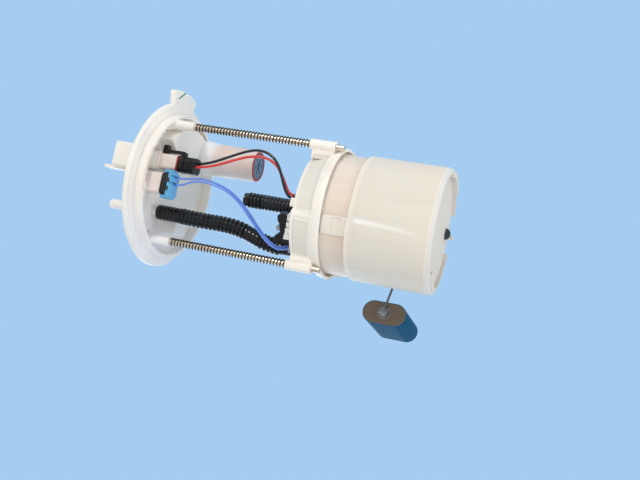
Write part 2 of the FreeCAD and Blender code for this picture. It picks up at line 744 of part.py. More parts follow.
def holder_cap():
    """The white cap: flared wall, bulge, sunken deck and two lugs that slide on the rods."""
    pieces = []
    for name, x in rod_places:
        side = 1 if x > 0 else -1
        inner = x - side * lug_web_reach
        pieces.append(upright(lug_radius, lug_bottom, lug_top, x, rod_y))
        pieces.append(block(min(x, inner), max(x, inner), rod_y - lug_web / 2, rod_y + lug_web / 2,
                            lug_bottom + 0.8, cap_top - 1.0))
    shape = cap_outside().fuse(pieces).cut(cap_hollows()).removeSplitter()
    holes = [upright(pump_nipple_radius + body_gap, deck_ceiling - 1, deck_top + 1)]
    for name, x in rod_places:
        holes.append(upright(rod_radius + slide_clearance, lug_bottom - 1, lug_top + 1, x, rod_y))
        holes.append(upright(rod_collar_radius + body_gap, cap_bottom - 1, lug_bottom, x, rod_y))
    nipple_top = deck_top + 15
    nipple = turned([(stub_bore_radius - 1.6, deck_top - 0.5), (stub_bore_radius - 0.1, deck_top - 0.5),
                     (stub_bore_radius - 0.1, nipple_top - 1), (stub_bore_radius - 0.6, nipple_top),
                     (stub_bore_radius - 1.6, nipple_top)], stub_x, stub_y)
    post = soft_block(-1.2, -(cap_top_radius - cap_wall - 1.1), 7.0, 3.2, deck_top - 0.5, post_top, 1.2)
    return shape.cut(holes).fuse([nipple, post])


def inner_can():
    """The clear can that holds the filter and the pump, with a latch panel in its neck."""
    collar = can_radius + 1.2
    inner = can_radius - can_wall
    profile = [(inner, can_top), (collar, can_top), (collar, can_top - can_collar_depth),
               (can_radius, can_top - can_collar_depth - 1), (can_radius, can_bottom),
               (can_hole_radius, can_bottom), (can_hole_radius, can_bottom + can_wall),
               (inner, can_bottom + can_wall)]
    shape = turned(profile)
    low = cup_top + body_gap
    high = cap_bottom - body_gap
    panel = sector(can_radius - 0.5, can_radius + latch_panel_height, low, high, latch_start_angle,
                   latch_end_angle)
    middle = (latch_start_angle + latch_end_angle) / 2
    window = sector(can_radius + 0.1, can_radius + 3, low + 3.5, high - 7.6, middle - 4.6, middle + 7.2)
    ears = [sector(can_radius - 0.5, can_radius + ear_reach, high - ear_length, high, angle - 4, angle + 4)
            for angle in (22, 158)]
    return shape.fuse([panel] + ears).cut(window).removeSplitter()


def swell_corner(angle, side):
    """A ramp at one end of the cup's swell: a wedge that thins out along the wall and down it."""
    high = cup_top
    inner = polar(cup_outer - 0.7, angle, high)
    crest = polar(cup_outer + swell_height, angle, high)
    edge = polar(cup_outer - 0.05, angle + side * swell_ramp, high)
    edge_in = polar(cup_outer - 0.7, angle + side * swell_ramp, high)
    point = polar(cup_outer - 0.05, angle, high - swell_length)
    point_in = polar(cup_outer - 0.7, angle, high - swell_length)
    corners = [(inner, crest, edge, edge_in), (point_in, inner, edge_in), (inner, point_in, point, crest),
               (crest, point, edge), (edge, point, point_in), (edge, point_in, edge_in)]
    faces = [Part.Face(Part.makePolygon(list(face) + [face[0]])) for face in corners]
    wedge = Part.Solid(Part.Shell(faces))
    if wedge.Volume < 0:
        wedge.reverse()
    return wedge


def reservoir_cup():
    """The outer cup: a swell that thins out down its side, a recessed floor, three feet, a gap in the rim."""
    bevel = cup_rounding * 0.3
    profile = [(0, floor_low), (recess_radius, floor_low), (recess_radius, cup_bottom),
               (cup_outer - cup_rounding, cup_bottom),
               (cup_outer - bevel, cup_bottom + bevel),
               (cup_outer, cup_bottom + cup_rounding), (cup_outer, cup_top - 0.6), (cup_outer - 0.6, cup_top),
               (cup_inner, cup_top), (cup_inner, floor_top), (0, floor_top)]
    shape = turned(profile)
    swell = turned([(cup_outer - 0.7, cup_top), (cup_outer + swell_height, cup_top),
                    (cup_outer, cup_top - swell_length), (cup_outer - 0.7, cup_top - swell_length)],
                   start=swell_start_angle, sweep=swell_end_angle - swell_start_angle)
    ramps = [swell_corner(swell_end_angle, 1), swell_corner(swell_start_angle, -1)]
    gap = sector(recess_radius - 0.5, cup_outer + 1, cup_bottom - 1, floor_low, rim_gap_start, rim_gap_end)
    feet = [sector(foot_inner, foot_outer, ground, floor_low + 0.4, angle - span / 2, angle + span / 2)
            for angle, span in foot_places]
    holes = [upright(1.6, ground, floor_top + 1, valve_x, valve_y)]
    for turn in (0, 120, 240):
        spot = polar(3.1, turn) + Vector(valve_x, valve_y, 0)
        holes.append(upright(0.9, ground, floor_top + 1, spot.x, spot.y))
    return shape.fuse([swell] + ramps).cut([gap] + holes).fuse(feet).removeSplitter()


def foot_valve():
    """A domed rubber valve under the cup, with its stem through the floor."""
    low = floor_low - 0.1
    inside = floor_top + 0.1
    return turned([(0, low - 4.1), (1.8, low - 3.8), (3.4, low - 2.9), (4.4, low - 1.6), (valve_radius, low),
                   (1.5, low), (1.5, inside), (2.4, inside), (1.6, inside + 1.4), (0, inside + 1.4)],
                  valve_x, valve_y)


def delivery_elbow():
    """From the pump's outlet across the deck and up into the delivery hose."""
    x, y = hose_end_x, hose_end_y
    reach = Vector(x, y, 0)
    knee_top = hose_end_z - elbow_knee_gap
    barb_top = hose_end_z + 11.0
    barrel = Part.makeCylinder(elbow_radius, reach.Length, Vector(0, 0, elbow_level), reach)
    hub = upright(elbow_hub_radius, deck_top + face_gap, elbow_level + elbow_radius + 0.6)
    knee = upright(elbow_knee_radius, elbow_level - elbow_knee_radius, knee_top, x, y)
    barb = upright(barb_radius, elbow_level, barb_top, x, y)
    ridges = []
    for height in (3.0, 7.0):
        low = hose_end_z + height
        outline = [(0, low), (barb_radius + barb_ridge, low), (barb_radius, low + 2), (0, low + 2)]
        ridges.append(turned(outline, x, y))
    body = barrel.fuse([hub, knee, barb] + ridges)
    bore = Part.makeCylinder(port_bore_radius, reach.Length, Vector(0, 0, elbow_level), reach)
    rise = upright(port_bore_radius - 0.4, elbow_level, barb_top + 1, x, y)
    well = upright(pump_nipple_radius + slide_clearance, deck_top - 1, elbow_level - 3)
    neck = upright(port_bore_radius - 0.4, elbow_level - 4, elbow_level)
    return body.cut([bore, rise, well, neck]).removeSplitter()


def hose_shape(route_radius, points, name):
    """The delivery hose: a tube with a bore that fits the barb at each end."""
    tube = tube_along(points, route_radius, name)
    low_hole = upright(barb_radius + hose_bore_clearance, hose_start_z - 14, hose_start_z + 1, port_x, port_y)
    end_hole = upright(barb_radius + barb_ridge + hose_bore_clearance, hose_end_z - 1, hose_end_z + 12,
                       hose_end_x, hose_end_y)
    return tube.cut([low_hole, end_hole])


def return_hose():
    """A short hose stub on the deck's return nipple, with a smooth cuff at its foot."""
    low = deck_top + 0.1
    return turned([(stub_bore_radius, low), (stub_radius - 0.9, low), (stub_radius - 0.9, low + 4),
                   (stub_radius, low + 5), (stub_radius, stub_top - 1), (stub_radius - 0.9, stub_top),
                   (stub_bore_radius, stub_top)], stub_x, stub_y)


def on_ledge(outline, inner, outer):
    """Extrude an outline of (along the ledge, height) points outwards, at the terminal block's place."""
    corners = [Vector(inner, along, height) for along, height in outline]
    face = Part.Face(Part.makePolygon(corners + corners[:1]))
    return turn_to(face.extrude(Vector(outer - inner, 0, 0)), block_angle)


def ledge_peg(along, height, radius, inner, outer):
    peg = Part.makeCylinder(radius, outer - inner, Vector(inner, along, height), Vector(1, 0, 0))
    return turn_to(peg, block_angle)


def terminal_block():
    """Grey-white block with four bumps, on the cap's ledge under the black connector."""
    low = cap_top + face_gap
    base = on_ledge([(-10.4, low), (10.2, low), (10.2, -125.2), (-10.4, -122.2)], block_inner, block_outer)
    bumps = []
    for along in (-8.0, -3.0, 2.0, 7.0):
        top = -124.4 - along * 0.146
        outline = [(along - 1.7, low), (along + 1.7, low), (along + 1.7, top), (along - 1.7, top)]
        bumps.append(on_ledge(outline, block_outer - 1, block_outer + 0.9))
    return base.fuse(bumps).removeSplitter()


def pump_connector():
    """Black connector along the block's sloped top: a round head, and a lobe and a tab at its far end."""
    inner = block_inner - 1.0
    outer = block_outer - 0.6
    body = on_ledge([(9.6, -125.01), (9.9, -119.6), (7.6, -116.9), (3.6, -117.1), (2.0, -118.4),
                     (-10.6, -120.2), (-10.6, -122.07)], inner, outer)
    tab = on_ledge([(-13.2, -126.6), (-10.6, -126.6), (-10.6, -120.4), (-13.2, -120.4)],
                   inner + 1, outer - 0.4)
    lobe = ledge_peg(-11.2, -117.3, 3.1, inner - 1, outer - 0.8)
    neck = on_ledge([(-12.8, -121.0), (-9.4, -121.6), (-9.4, -117.2), (-12.8, -117.2)], inner, outer - 1.2)
    return body.fuse([tab, lobe, neck]).removeSplitter()


def connector_lock():
    """Small grey lock slide on the connector's back."""
    return on_ledge([(-1.0, -118.72), (-5.0, -119.29), (-5.0, -115.8), (-1.4, -115.4)], block_inner + 1,
                    block_outer - 2)


def wire_grommet():
    y = -(cap_top_radius - cap_wall - 6.0)
    return soft_block(3.9, y, 6.6, 6.0, deck_top + face_gap, grommet_top, 2.6)


def wire_clip():
    clip = block(-3.6, 3.6, -2.6, 2.6, cap_top + face_gap, clip_top)
    clip = clip.makeFillet(0.8, upright_edges(clip))
    turn_to(clip, -142)
    clip.translate(polar(cap_top_radius + 0.3, -142))
    return clip.cut(upright(lead_radius + 0.1, cap_top + 0.2, clip_top + 1, lead_x, lead_y))


def pump_shell():
    return pipe(pump_radius, pump_radius - pump_shell_wall, pump_shell_bottom, pump_shell_top)


def pump_outlet_cover():
    """End cover with the outlet nipple that rises through the deck, and a bearing for the shaft."""
    low = pump_shell_top + 0.1
    top = low + pump_cover_height
    nipple_top = deck_top + 3.5
    bearing = shaft_radius + slide_clearance
    return turned([(bearing, low), (pump_radius - 0.6, low), (pump_radius - 0.6, top - 2),
                   (pump_radius - 3, top), (pump_nipple_radius, top), (pump_nipple_radius, nipple_top),
                   (pump_nipple_radius - 1.5, nipple_top), (pump_nipple_radius - 1.5, low + 5),
                   (bearing, low + 5)])


def pump_inlet_cover():
    """Inlet cover: a round chamber for the impeller, with an inlet port on its underside."""
    high = pump_shell_bottom - 0.1
    low = high - 9.0
    body = upright(pump_radius - 0.4, low, high)
    chamber = upright(impeller_radius + 0.4, high - 1.5 - impeller_height - 0.6, high - 1.5)
    bearing = upright(shaft_radius + slide_clearance, low + 1.5, high + 1)
    inlet = upright(3.0, low - 1, low + 6, 9.0, 0)
    return body.cut([chamber, bearing, inlet])


def impeller():
    high = pump_shell_bottom - 0.1 - 1.5 - 0.3
    low = high - impeller_height
    points = []
    for slot in range(impeller_slots):
        for share, radius in ((0.0, impeller_radius), (0.55, impeller_radius), (0.6, impeller_radius - 2.2),
                              (0.95, impeller_radius - 2.2)):
            place = polar(radius, 360.0 * (slot + share) / impeller_slots)
            points.append((place.x, place.y))
    return prism(points, low, high).cut(upright(shaft_radius + press_clearance, low - 1, high + 1))


def rotor_shaft():
    return upright(shaft_radius, pump_shell_bottom - 7.2, pump_shell_top + 4.5)


def armature():
    low = pump_shell_bottom + 12
    high = pump_shell_top - 16
    points = []
    for slot in range(8):
        for share, radius in ((0.0, armature_radius), (0.42, armature_radius), (0.84, armature_radius),
                              (0.86, armature_radius - 4), (0.98, armature_radius - 4)):
            place = polar(radius, 360.0 * (slot + share) / 8)
            points.append((place.x, place.y))
    return prism(points, low, high).cut(upright(shaft_radius + press_clearance, low - 1, high + 1))


def commutator():
    high = pump_shell_top - 4
    return pipe(6.0, shaft_radius + press_clearance, high - 8, high)


def pump_brushes():
    high = pump_shell_top - 5.5
    shapes = [block(start, start + 6.0, -2, 2, high - 5, high) for start in (6.2, -12.2)]
    return Part.makeCompound(shapes)


def pump_magnets():
    low = pump_shell_bottom + 10
    high = pump_shell_top - 14
    outer = pump_radius - pump_shell_wall - 0.05
    halves = [sector(magnet_radius, outer, low, high, start, start + 140) for start in (20, 200)]
    return Part.makeCompound(halves)


def pump_isolator():
    """Rubber sleeve between the pump and the filter's core."""
    return pipe(pump_radius + 2.2, pump_radius + 0.05, pump_shell_bottom + 4, pump_shell_bottom + 22)


def filter_paper():
    """Folded paper ring round the pump."""
    outer = []
    inner = []
    for fold in range(filter_folds):
        for share, place in ((0.0, filter_outer), (0.5, filter_inner + filter_paper_gap)):
            spot = polar(place, 360.0 * (fold + share) / filter_folds)
            outer.append((spot.x, spot.y))
        for share, place in ((0.0, filter_outer - 3 * filter_paper_gap), (0.5, filter_inner)):
            spot = polar(place, 360.0 * (fold + share) / filter_folds)
            inner.append((spot.x, spot.y))
    return prism(outer, filter_low, filter_high).cut(prism(inner, filter_low - 1, filter_high + 1))


def filter_ring(low):
    return pipe(filter_outer + 1.2, filter_inner - 1.0, low, low + filter_ring_height)


def strainer():
    """Flat strainer bag on the cup's floor under the pump's inlet."""
    low = floor_top + 0.2
    high = low + strainer_height
    return soft_block(strainer_x, strainer_y, strainer_width, strainer_length, low, high, 8.0)


def jet_pump():
    """Ejector that fills the cup: a body on the floor beside the foot valve, with a throat."""
    level = floor_top + 3.4
    along = Vector(0, 1, 0)
    body = Part.makeCylinder(jet_radius, jet_length, Vector(jet_x, jet_y, level), along)
    tail = Part.makeCylinder(jet_radius * 0.7, 10, Vector(jet_x, jet_y + jet_length, level), along)
    throat = Part.makeCylinder(1.2, jet_length + 12, Vector(jet_x, jet_y - 1, level), along)
    return body.fuse(tail).cut(throat)


def regulator():
    """Pressure regulator, a small drawn can under the deck."""
    high = deck_ceiling - face_gap
    neck = regulator_radius - 2.5
    return turned([(0, high), (neck, high), (neck, high - 4), (regulator_radius, high - 5),
                   (regulator_radius, high - 9), (regulator_radius - 2, high - regulator_height),
                   (0, high - regulator_height)], regulator_x, regulator_y)


def sender_housing():
    """Saddle on the cup's side that carries the resistor card and the arm's pivot."""
    back = cup_outer - 7.8
    body = Part.makeBox(housing_face - back, housing_t1 - housing_t0, housing_top - housing_bottom,
                        Vector(back, housing_t0, housing_bottom))
    front = [edge for edge in body.Edges if abs(edge.tangentAt(edge.FirstParameter).x) > 0.99]
    body = body.makeFillet(3.0, front)
    gland = Part.makeBox(5.0, 7.0, 5.0, Vector(cup_outer + 0.4, -3.5, housing_top - 5.0))
    saddle = upright(cup_outer + 0.1, housing_bottom - 5, housing_top + 5)
    body = body.fuse(gland).cut(saddle)
    card_seat = Part.makeBox(5, 27.0, 18.6, Vector(housing_face - 0.9, pivot_t - 13.5, pivot_z + 4.7))
    pivot = Part.makeCylinder(pivot_radius + slide_clearance, 20, Vector(back + 2, pivot_t, pivot_z),
                              Vector(1, 0, 0))
    return to_sender(body.cut([card_seat, pivot]))


def sender_card():
    """Ceramic resistor card in its seat."""
    card = Part.makeBox(card_thickness, 26.6, 18.2, Vector(housing_face - 0.8, pivot_t - 13.3, pivot_z + 4.9))
    return to_sender(card)


def arm_direction():
    turn = math.radians(arm_angle)
    return Vector(0, math.cos(turn), math.sin(turn))


def float_direction():
    turn = math.radians(float_tilt)
    return Vector(math.cos(turn), 0, -math.sin(turn))


def arm_corner():
    return Vector(arm_plane, pivot_t, pivot_z) + arm_direction() * arm_length


def arm_hub():
    """Plastic hub with a pivot stub in the housing and a clip for the wire."""
    centre = Vector(0, pivot_t, pivot_z)
    back = housing_face + body_gap
    disc = Part.makeCylinder(hub_radius, hub_front - back, centre + Vector(back, 0, 0), Vector(1, 0, 0))
    stub = Part.makeCylinder(pivot_radius, 4.0, centre + Vector(back - 3.9, 0, 0), Vector(1, 0, 0))
    bar = Part.makeBox(hub_front - back, 20.0, 6.0, Vector(back, pivot_t, pivot_z - 3.0))
    bar.rotate(centre, Vector(1, 0, 0), arm_angle)
    mast = Part.makeBox(1.4, 6.0, 14.0, Vector(back + 2.2, pivot_t - 3.0, pivot_z))
    shape = disc.fuse([stub, bar, mast])
    start = Vector(arm_plane, pivot_t, pivot_z) - arm_direction() * 12
    hole = Part.makeCylinder(arm_wire_radius + press_clearance, 60, start, arm_direction())
    return to_sender(shape.cut(hole).removeSplitter())


def arm_wiper():
    """Two spring contact fingers on the hub's mast, over the card."""
    back = housing_face + body_gap
    fingers = []
    for offset in (-2.2, 0.6):
        finger = Part.makeBox(0.3, 1.6, 9.0, Vector(back + 1.8, pivot_t + offset, pivot_z + 6.5))
        tip = Part.makeBox(1.6, 1.6, 1.2, Vector(back + 0.2, pivot_t + offset, pivot_z + 14.3))
        fingers.append(finger.fuse(tip).removeSplitter())
    shape = Part.makeCompound(fingers)
    return to_sender(shape)


def arm_wire():
    """Steel wire: out from the hub, then a bend into the float's bore."""
    corner = arm_corner()
    back = -arm_direction()
    ahead = float_direction()
    half_turn = (math.pi - back.getAngle(ahead)) / 2
    reach = arm_bend_radius * math.tan(half_turn)
    middle = (back + ahead).normalize() * (arm_bend_radius / math.cos(half_turn) - arm_bend_radius)
    inner = Vector(arm_plane, pivot_t, pivot_z) - arm_direction() * (hub_radius + 1.5)
    outer = corner + ahead * ((float_near - arm_plane) + float_length + 3.2)
    start = corner + back * reach
    end = corner + ahead * reach
    path = Part.Wire([Part.LineSegment(inner, start).toShape(),
                      Part.Arc(start, corner + middle, end).toShape(),
                      Part.LineSegment(end, outer).toShape()])
    section = Part.Wire(Part.makeCircle(arm_wire_radius, inner, start - inner))
    return to_sender(path.makePipeShell([section], True, False))


def along_float(shape):
    """Place a shape drawn along X from the arm's corner on the float's tilted line."""
    shape.rotate(Vector(0, 0, 0), Vector(0, 1, 0), float_tilt)
    shape.translate(arm_corner())
    return to_sender(shape)


def float_block():
    near = float_near - arm_plane
    half = float_height / 2
    radius = float_width / 2
    straight = half - radius
    low = Vector(near, 0, -straight)
    high = Vector(near, 0, straight)
    bar = Part.makeBox(float_length, float_width, 2 * straight, Vector(near, -radius, -straight))
    ends = [Part.makeCylinder(radius, float_length, place, Vector(1, 0, 0)) for place in (low, high)]
    shape = bar.fuse(ends).removeSplitter()
    rim = [edge for edge in shape.Edges if min(abs(edge.CenterOfMass.x - near),
                                               abs(edge.CenterOfMass.x - near - float_length)) < 0.01]
    shape = shape.makeChamfer(float_chamfer, rim)
    bore = Part.makeCylinder(arm_wire_radius + slide_clearance, float_length + 4, Vector(near - 2, 0, 0),
                             Vector(1, 0, 0))
    return along_float(shape.cut(bore))


def float_retainer():
    """Shiny domed push nut on the wire, at the float's near face."""
    high = float_near - arm_plane - body_gap
    hole = arm_wire_radius + press_clearance
    profile = [(hole, high), (retainer_radius, high), (retainer_radius, high - 0.5),
               (retainer_radius * 0.62, high - 1.1), (hole, high - 1.3)]
    shape = turned(profile)
    shape.rotate(Vector(0, 0, 0), Vector(0, 1, 0), 90)
    return along_float(shape)


def float_clip():
    """Flat push nut on the wire's far end."""
    low = float_near - arm_plane + float_length + body_gap
    shape = pipe(3.4, arm_wire_radius + press_clearance, low, low + 0.8)
    shape.rotate(Vector(0, 0, 0), Vector(0, 1, 0), 90)
    return along_float(shape)


def main():
    os.makedirs("parts", exist_ok=True)
    export("flange_plate", flange_plate())
    export("pump_terminals", Part.makeCompound(pump_blades()))
    export("sender_terminals", Part.makeCompound(sender_blades()))
    export("vent_tube", vent_tube())
    export("vent_seal", vent_ring())
    export("vent_valve", vent_insert())
    export("vent_float", vent_float())
    for name, x in rod_places:
        export("guide_rod_" + name, guide_rod(x))
        export("spring_" + name, spring(x))
    export("pump_plug", pump_plug())
    export("pump_plug_latch", pump_plug_latch())
    export("sender_plug", sender_plug())
    export("pump_plug_seal", socket_seal(pump_socket_x, pump_socket_y, pump_socket_width, pump_socket_length,
                                         -pump_socket_depth - face_gap, pump_seal_height))
    export("sender_plug_seal", socket_seal(sender_socket_x, sender_socket_y, sender_socket_width,
                                           sender_socket_length, -sender_socket_depth - face_gap,
                                           sender_seal_height))
    for name, (radius, points) in cord_routes().items():
        if name == "delivery_hose":
            export(name, hose_shape(radius, points, name))
        else:
            export(name, tube_along(points, radius, name))
    export("holder_cap", holder_cap())
    export("inner_can", inner_can())
    export("reservoir_cup", reservoir_cup())
    export("foot_valve", foot_valve())
    export("delivery_elbow", delivery_elbow())
    export("return_hose", return_hose())
    export("terminal_block", terminal_block())
    export("pump_connector", pump_connector())
    export("connector_lock", connector_lock())
    export("wire_grommet", wire_grommet())
    export("wire_clip", wire_clip())
    export("pump_shell", pump_shell())
    export("pump_outlet_cover", pump_outlet_cover())
    export("pump_inlet_cover", pump_inlet_cover())
    export("impeller", impeller())
    export("rotor_shaft", rotor_shaft())
    export("armature", armature())
    export("commutator", commutator())
    export("pump_brushes", pump_brushes())
    export("pump_magnets", pump_magnets())
    export("pump_isolator", pump_isolator())
    export("filter_paper", filter_paper())
    export("filter_ring_bottom", filter_ring(filter_low - filter_ring_height - face_gap))
    export("filter_ring_top", filter_ring(filter_high + face_gap))
    export("inlet_strainer", strainer())
    export("jet_pump", jet_pump())
    export("pressure_regulator", regulator())
    export("sender_housing", sender_housing())
    export("sender_card", sender_card())
    export("arm_hub", arm_hub())
    export("arm_wiper", arm_wiper())
    export("arm_wire", arm_wire())
    export("float", float_block())
    export("float_retainer", float_retainer())
    export("float_clip", float_clip())


main()
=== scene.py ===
import json
import math

import bmesh
import bpy
from mathutils import Matrix, Vector


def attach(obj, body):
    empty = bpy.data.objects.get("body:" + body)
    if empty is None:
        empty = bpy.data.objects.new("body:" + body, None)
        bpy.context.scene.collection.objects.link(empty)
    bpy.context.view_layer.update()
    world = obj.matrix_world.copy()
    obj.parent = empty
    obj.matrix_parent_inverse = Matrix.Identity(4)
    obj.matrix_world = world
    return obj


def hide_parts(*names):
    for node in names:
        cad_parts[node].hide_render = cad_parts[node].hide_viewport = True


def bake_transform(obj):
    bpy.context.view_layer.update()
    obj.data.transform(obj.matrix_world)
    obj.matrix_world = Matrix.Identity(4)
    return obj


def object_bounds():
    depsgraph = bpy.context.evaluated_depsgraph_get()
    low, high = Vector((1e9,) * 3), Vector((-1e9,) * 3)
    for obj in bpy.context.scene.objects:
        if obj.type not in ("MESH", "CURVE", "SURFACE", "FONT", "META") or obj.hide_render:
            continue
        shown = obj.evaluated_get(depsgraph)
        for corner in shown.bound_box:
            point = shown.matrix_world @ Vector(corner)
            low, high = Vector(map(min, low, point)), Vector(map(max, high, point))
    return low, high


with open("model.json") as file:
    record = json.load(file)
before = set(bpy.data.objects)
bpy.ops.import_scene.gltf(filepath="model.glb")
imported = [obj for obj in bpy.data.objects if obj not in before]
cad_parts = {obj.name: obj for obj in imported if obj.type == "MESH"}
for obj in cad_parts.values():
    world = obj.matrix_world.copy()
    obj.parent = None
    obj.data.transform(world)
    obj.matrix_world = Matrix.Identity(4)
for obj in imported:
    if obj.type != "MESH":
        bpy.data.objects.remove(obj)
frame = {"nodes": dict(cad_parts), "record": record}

cadLow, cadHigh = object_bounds()
nodes = frame["nodes"]
mm = 0.001
print("frame loaded:", len(nodes), "nodes")


# Shader helpers: an expression on a Value adds its Math nodes

def addNode(tree, kind, settings=None, inputs=None):
    # Settings first, then each socket's value or link
    node = tree.nodes.new(kind)
    for name, setting in (settings or {}).items():
        setattr(node, name, setting)
    for name, item in (inputs or {}).items():
        if isinstance(item, Value):
            item = item.socket
        if isinstance(item, bpy.types.NodeSocket):
            tree.links.new(item, node.inputs[name])
        else:
            node.inputs[name].default_value = item
    return node


class Value:
    def __init__(self, tree, socket):
        self.tree = tree
        self.socket = socket

    def maths(self, operation, *others, swap=False):
        items = [*others, self] if swap else [self, *others]
        node = addNode(self.tree, "ShaderNodeMath", {"operation": operation}, dict(enumerate(items)))
        return Value(self.tree, node.outputs[0])

    def __add__(self, other):
        return self.maths("ADD", other)

    __radd__ = __add__

    def __mul__(self, other):
        return self.maths("MULTIPLY", other)

    __rmul__ = __mul__

    def __sub__(self, other):
        return self.maths("SUBTRACT", other)

    def __rsub__(self, other):
        return self.maths("SUBTRACT", other, swap=True)

    def __truediv__(self, other):
        return self.maths("DIVIDE", other)

    def __neg__(self):
        return self.maths("MULTIPLY", -1.0)

    def sine(self):
        return self.maths("SINE")

    def above(self, low, high):
        # 0 below low and 1 above high, smooth between
        node = addNode(self.tree, "ShaderNodeMapRange", {"interpolation_type": "SMOOTHSTEP"},
                       {"Value": self, "From Min": low, "From Max": high})
        return Value(self.tree, node.outputs["Result"])


def band(value, low, high, soft):
    # 1 between low and high, with soft ends
    return value.above(low - soft, low + soft) * (1.0 - value.above(high - soft, high + soft))


class Finish:
    # One material, with Object coordinates in metres
    def __init__(self, name, roughness, metallic=0.0, coat=0.0, softness=0.0, specular=0.5):
        self.material = bpy.data.materials.new(name)
        self.material.use_nodes = True
        self.tree = self.material.node_tree
        self.shader = self.tree.nodes["Principled BSDF"]
        even = {"Roughness": roughness, "Metallic": metallic, "Coat Weight": coat, "Coat Roughness": 0.12,
                "Specular IOR Level": specular}
        if softness:
            even["Subsurface Weight"] = softness
            even["Subsurface Radius"] = (1.0, 0.75, 0.55)
            even["Subsurface Scale"] = 0.003
        for name, item in even.items():
            self.shader.inputs[name].default_value = item
        self.place = self.node("ShaderNodeTexCoord").outputs["Object"]
        split = self.node("ShaderNodeSeparateXYZ", inputs={"Vector": self.place})
        self.x = Value(self.tree, split.outputs["X"])
        self.y = Value(self.tree, split.outputs["Y"])
        self.z = Value(self.tree, split.outputs["Z"])

    def node(self, kind, settings=None, inputs=None):
        return addNode(self.tree, kind, settings, inputs)

    def angle(self, x=0.0, y=0.0):
        # Angle round an upright line, in radians
        return (self.y - y).maths("ARCTAN2", self.x - x)

    def radius(self, x=0.0, y=0.0):
        # Distance from an upright line
        across, along = self.x - x, self.y - y
        return (across * across + along * along).maths("SQRT")

    def noise(self, scale, detail=3.0, stretch=None):
        where = self.place
        if stretch:
            where = self.node("ShaderNodeMapping", inputs={"Vector": where, "Scale": stretch}).outputs[0]
        node = self.node("ShaderNodeTexNoise", inputs={"Vector": where, "Scale": scale, "Detail": detail})
        return Value(self.tree, node.outputs["Fac"])

    def cells(self, scale):
        node = self.node("ShaderNodeTexVoronoi", inputs={"Vector": self.place, "Scale": scale})
        return Value(self.tree, node.outputs["Distance"])

    def blendColours(self, share, low, high):
        ends = [item if isinstance(item, bpy.types.NodeSocket) else (*item, 1) for item in (low, high)]
        mix = self.node("ShaderNodeMix", {"data_type": "RGBA"}, {0: share, 6: ends[0], 7: ends[1]})
        return mix.outputs[2]

    def colour(self, socket):
        self.tree.links.new(socket, self.shader.inputs["Base Color"])

    def rough(self, value):
        self.tree.links.new(value.socket, self.shader.inputs["Roughness"])

    def gloss(self, lowest, spread, scale, detail):
        # Roughness that varies in patches
        self.rough(lowest + spread * self.noise(scale, detail))

    def relief(self, height, depth, strength):
        bump = self.node("ShaderNodeBump", inputs={"Height": height, "Distance": depth, "Strength": strength})
        self.tree.links.new(bump.outputs[0], self.shader.inputs["Normal"])

    def grain(self, scale, detail, depth, strength):
        self.relief(self.noise(scale, detail), depth, strength)


# Finishes: colours are red, green and blue, and places are metres; cloud, drift, speckle and scratches
# hold what Finish.noise takes, gloss and grain what Finish.gloss and Finish.grain take

def flangePlastic():
    # White moulding, painted cooler towards -x as shade on the side away from the light, with pinkish sockets
    # and a stroke of green ink on the tab
    look = {"warm": (0.85, 0.78, 0.69), "cream": (0.88, 0.81, 0.72), "creamShare": (0.35, 0.65),
            "cloud": (28.0, 2.0), "coolShade": (0.86, 0.81, 0.79), "coolPlace": (0.012, 0.05),
            "coolWander": 0.01, "coolShadeShare": 0.8, "socket": (0.72, 0.58, 0.51), "socketShare": 0.55,
            "socketClouds": 0.35, "socketFrom": -0.0135, "socketTo": 0.0225, "socketReach": (0.029, 0.031),
            "socketTop": 0.0075, "socketEnd": 0.04, "ink": (0.005, 0.25, 0.11),
            "inkStart": (0.07146, -0.01936), "inkEnd": (0.07995, -0.00913), "inkWidth": 0.0007,
            "inkHeight": 0.0006, "gloss": (0.38, 0.10, 120.0, 4.0), "grain": (1400.0, 2.0, 0.00004, 0.5)}
    finish = Finish("flangePlastic", 0.42, softness=0.25)
    cloud = finish.noise(*look["cloud"])
    tone = finish.blendColours(cloud.above(*look["creamShare"]), look["warm"], look["cream"])
    # painted shade: the -x side, away from the light, is tinted cooler
    shadedSide = (-finish.x + look["coolWander"] * cloud).above(*look["coolPlace"])
    tone = finish.blendColours(shadedSide * look["coolShadeShare"], tone, look["coolShade"])
    sockets = band(finish.x, look["socketFrom"], look["socketTo"], 0.0006)
    sockets = sockets * (-finish.y).above(*look["socketReach"])
    sockets = sockets * band(-finish.z, look["socketTop"], look["socketEnd"], 0.001)
    sockets = sockets * (look["socketShare"] + look["socketClouds"] * cloud)
    tone = finish.blendColours(sockets, tone, look["socket"])
    start, end = Vector(look["inkStart"]), Vector(look["inkEnd"])
    reach = (end - start).length
    along = (end - start) / reach
    here = (finish.x - start.x) * along.x + (finish.y - start.y) * along.y
    aside = (finish.y - start.y) * along.x - (finish.x - start.x) * along.y
    ink = band(here, 0.0, reach, 0.0003) * band(aside, -look["inkWidth"], look["inkWidth"], 0.0002)
    ink = ink * band(finish.z, -look["inkHeight"], look["inkHeight"], 0.0002)
    finish.colour(finish.blendColours(ink, tone, look["ink"]))
    finish.gloss(*look["gloss"])
    finish.grain(*look["grain"])
    return finish.material


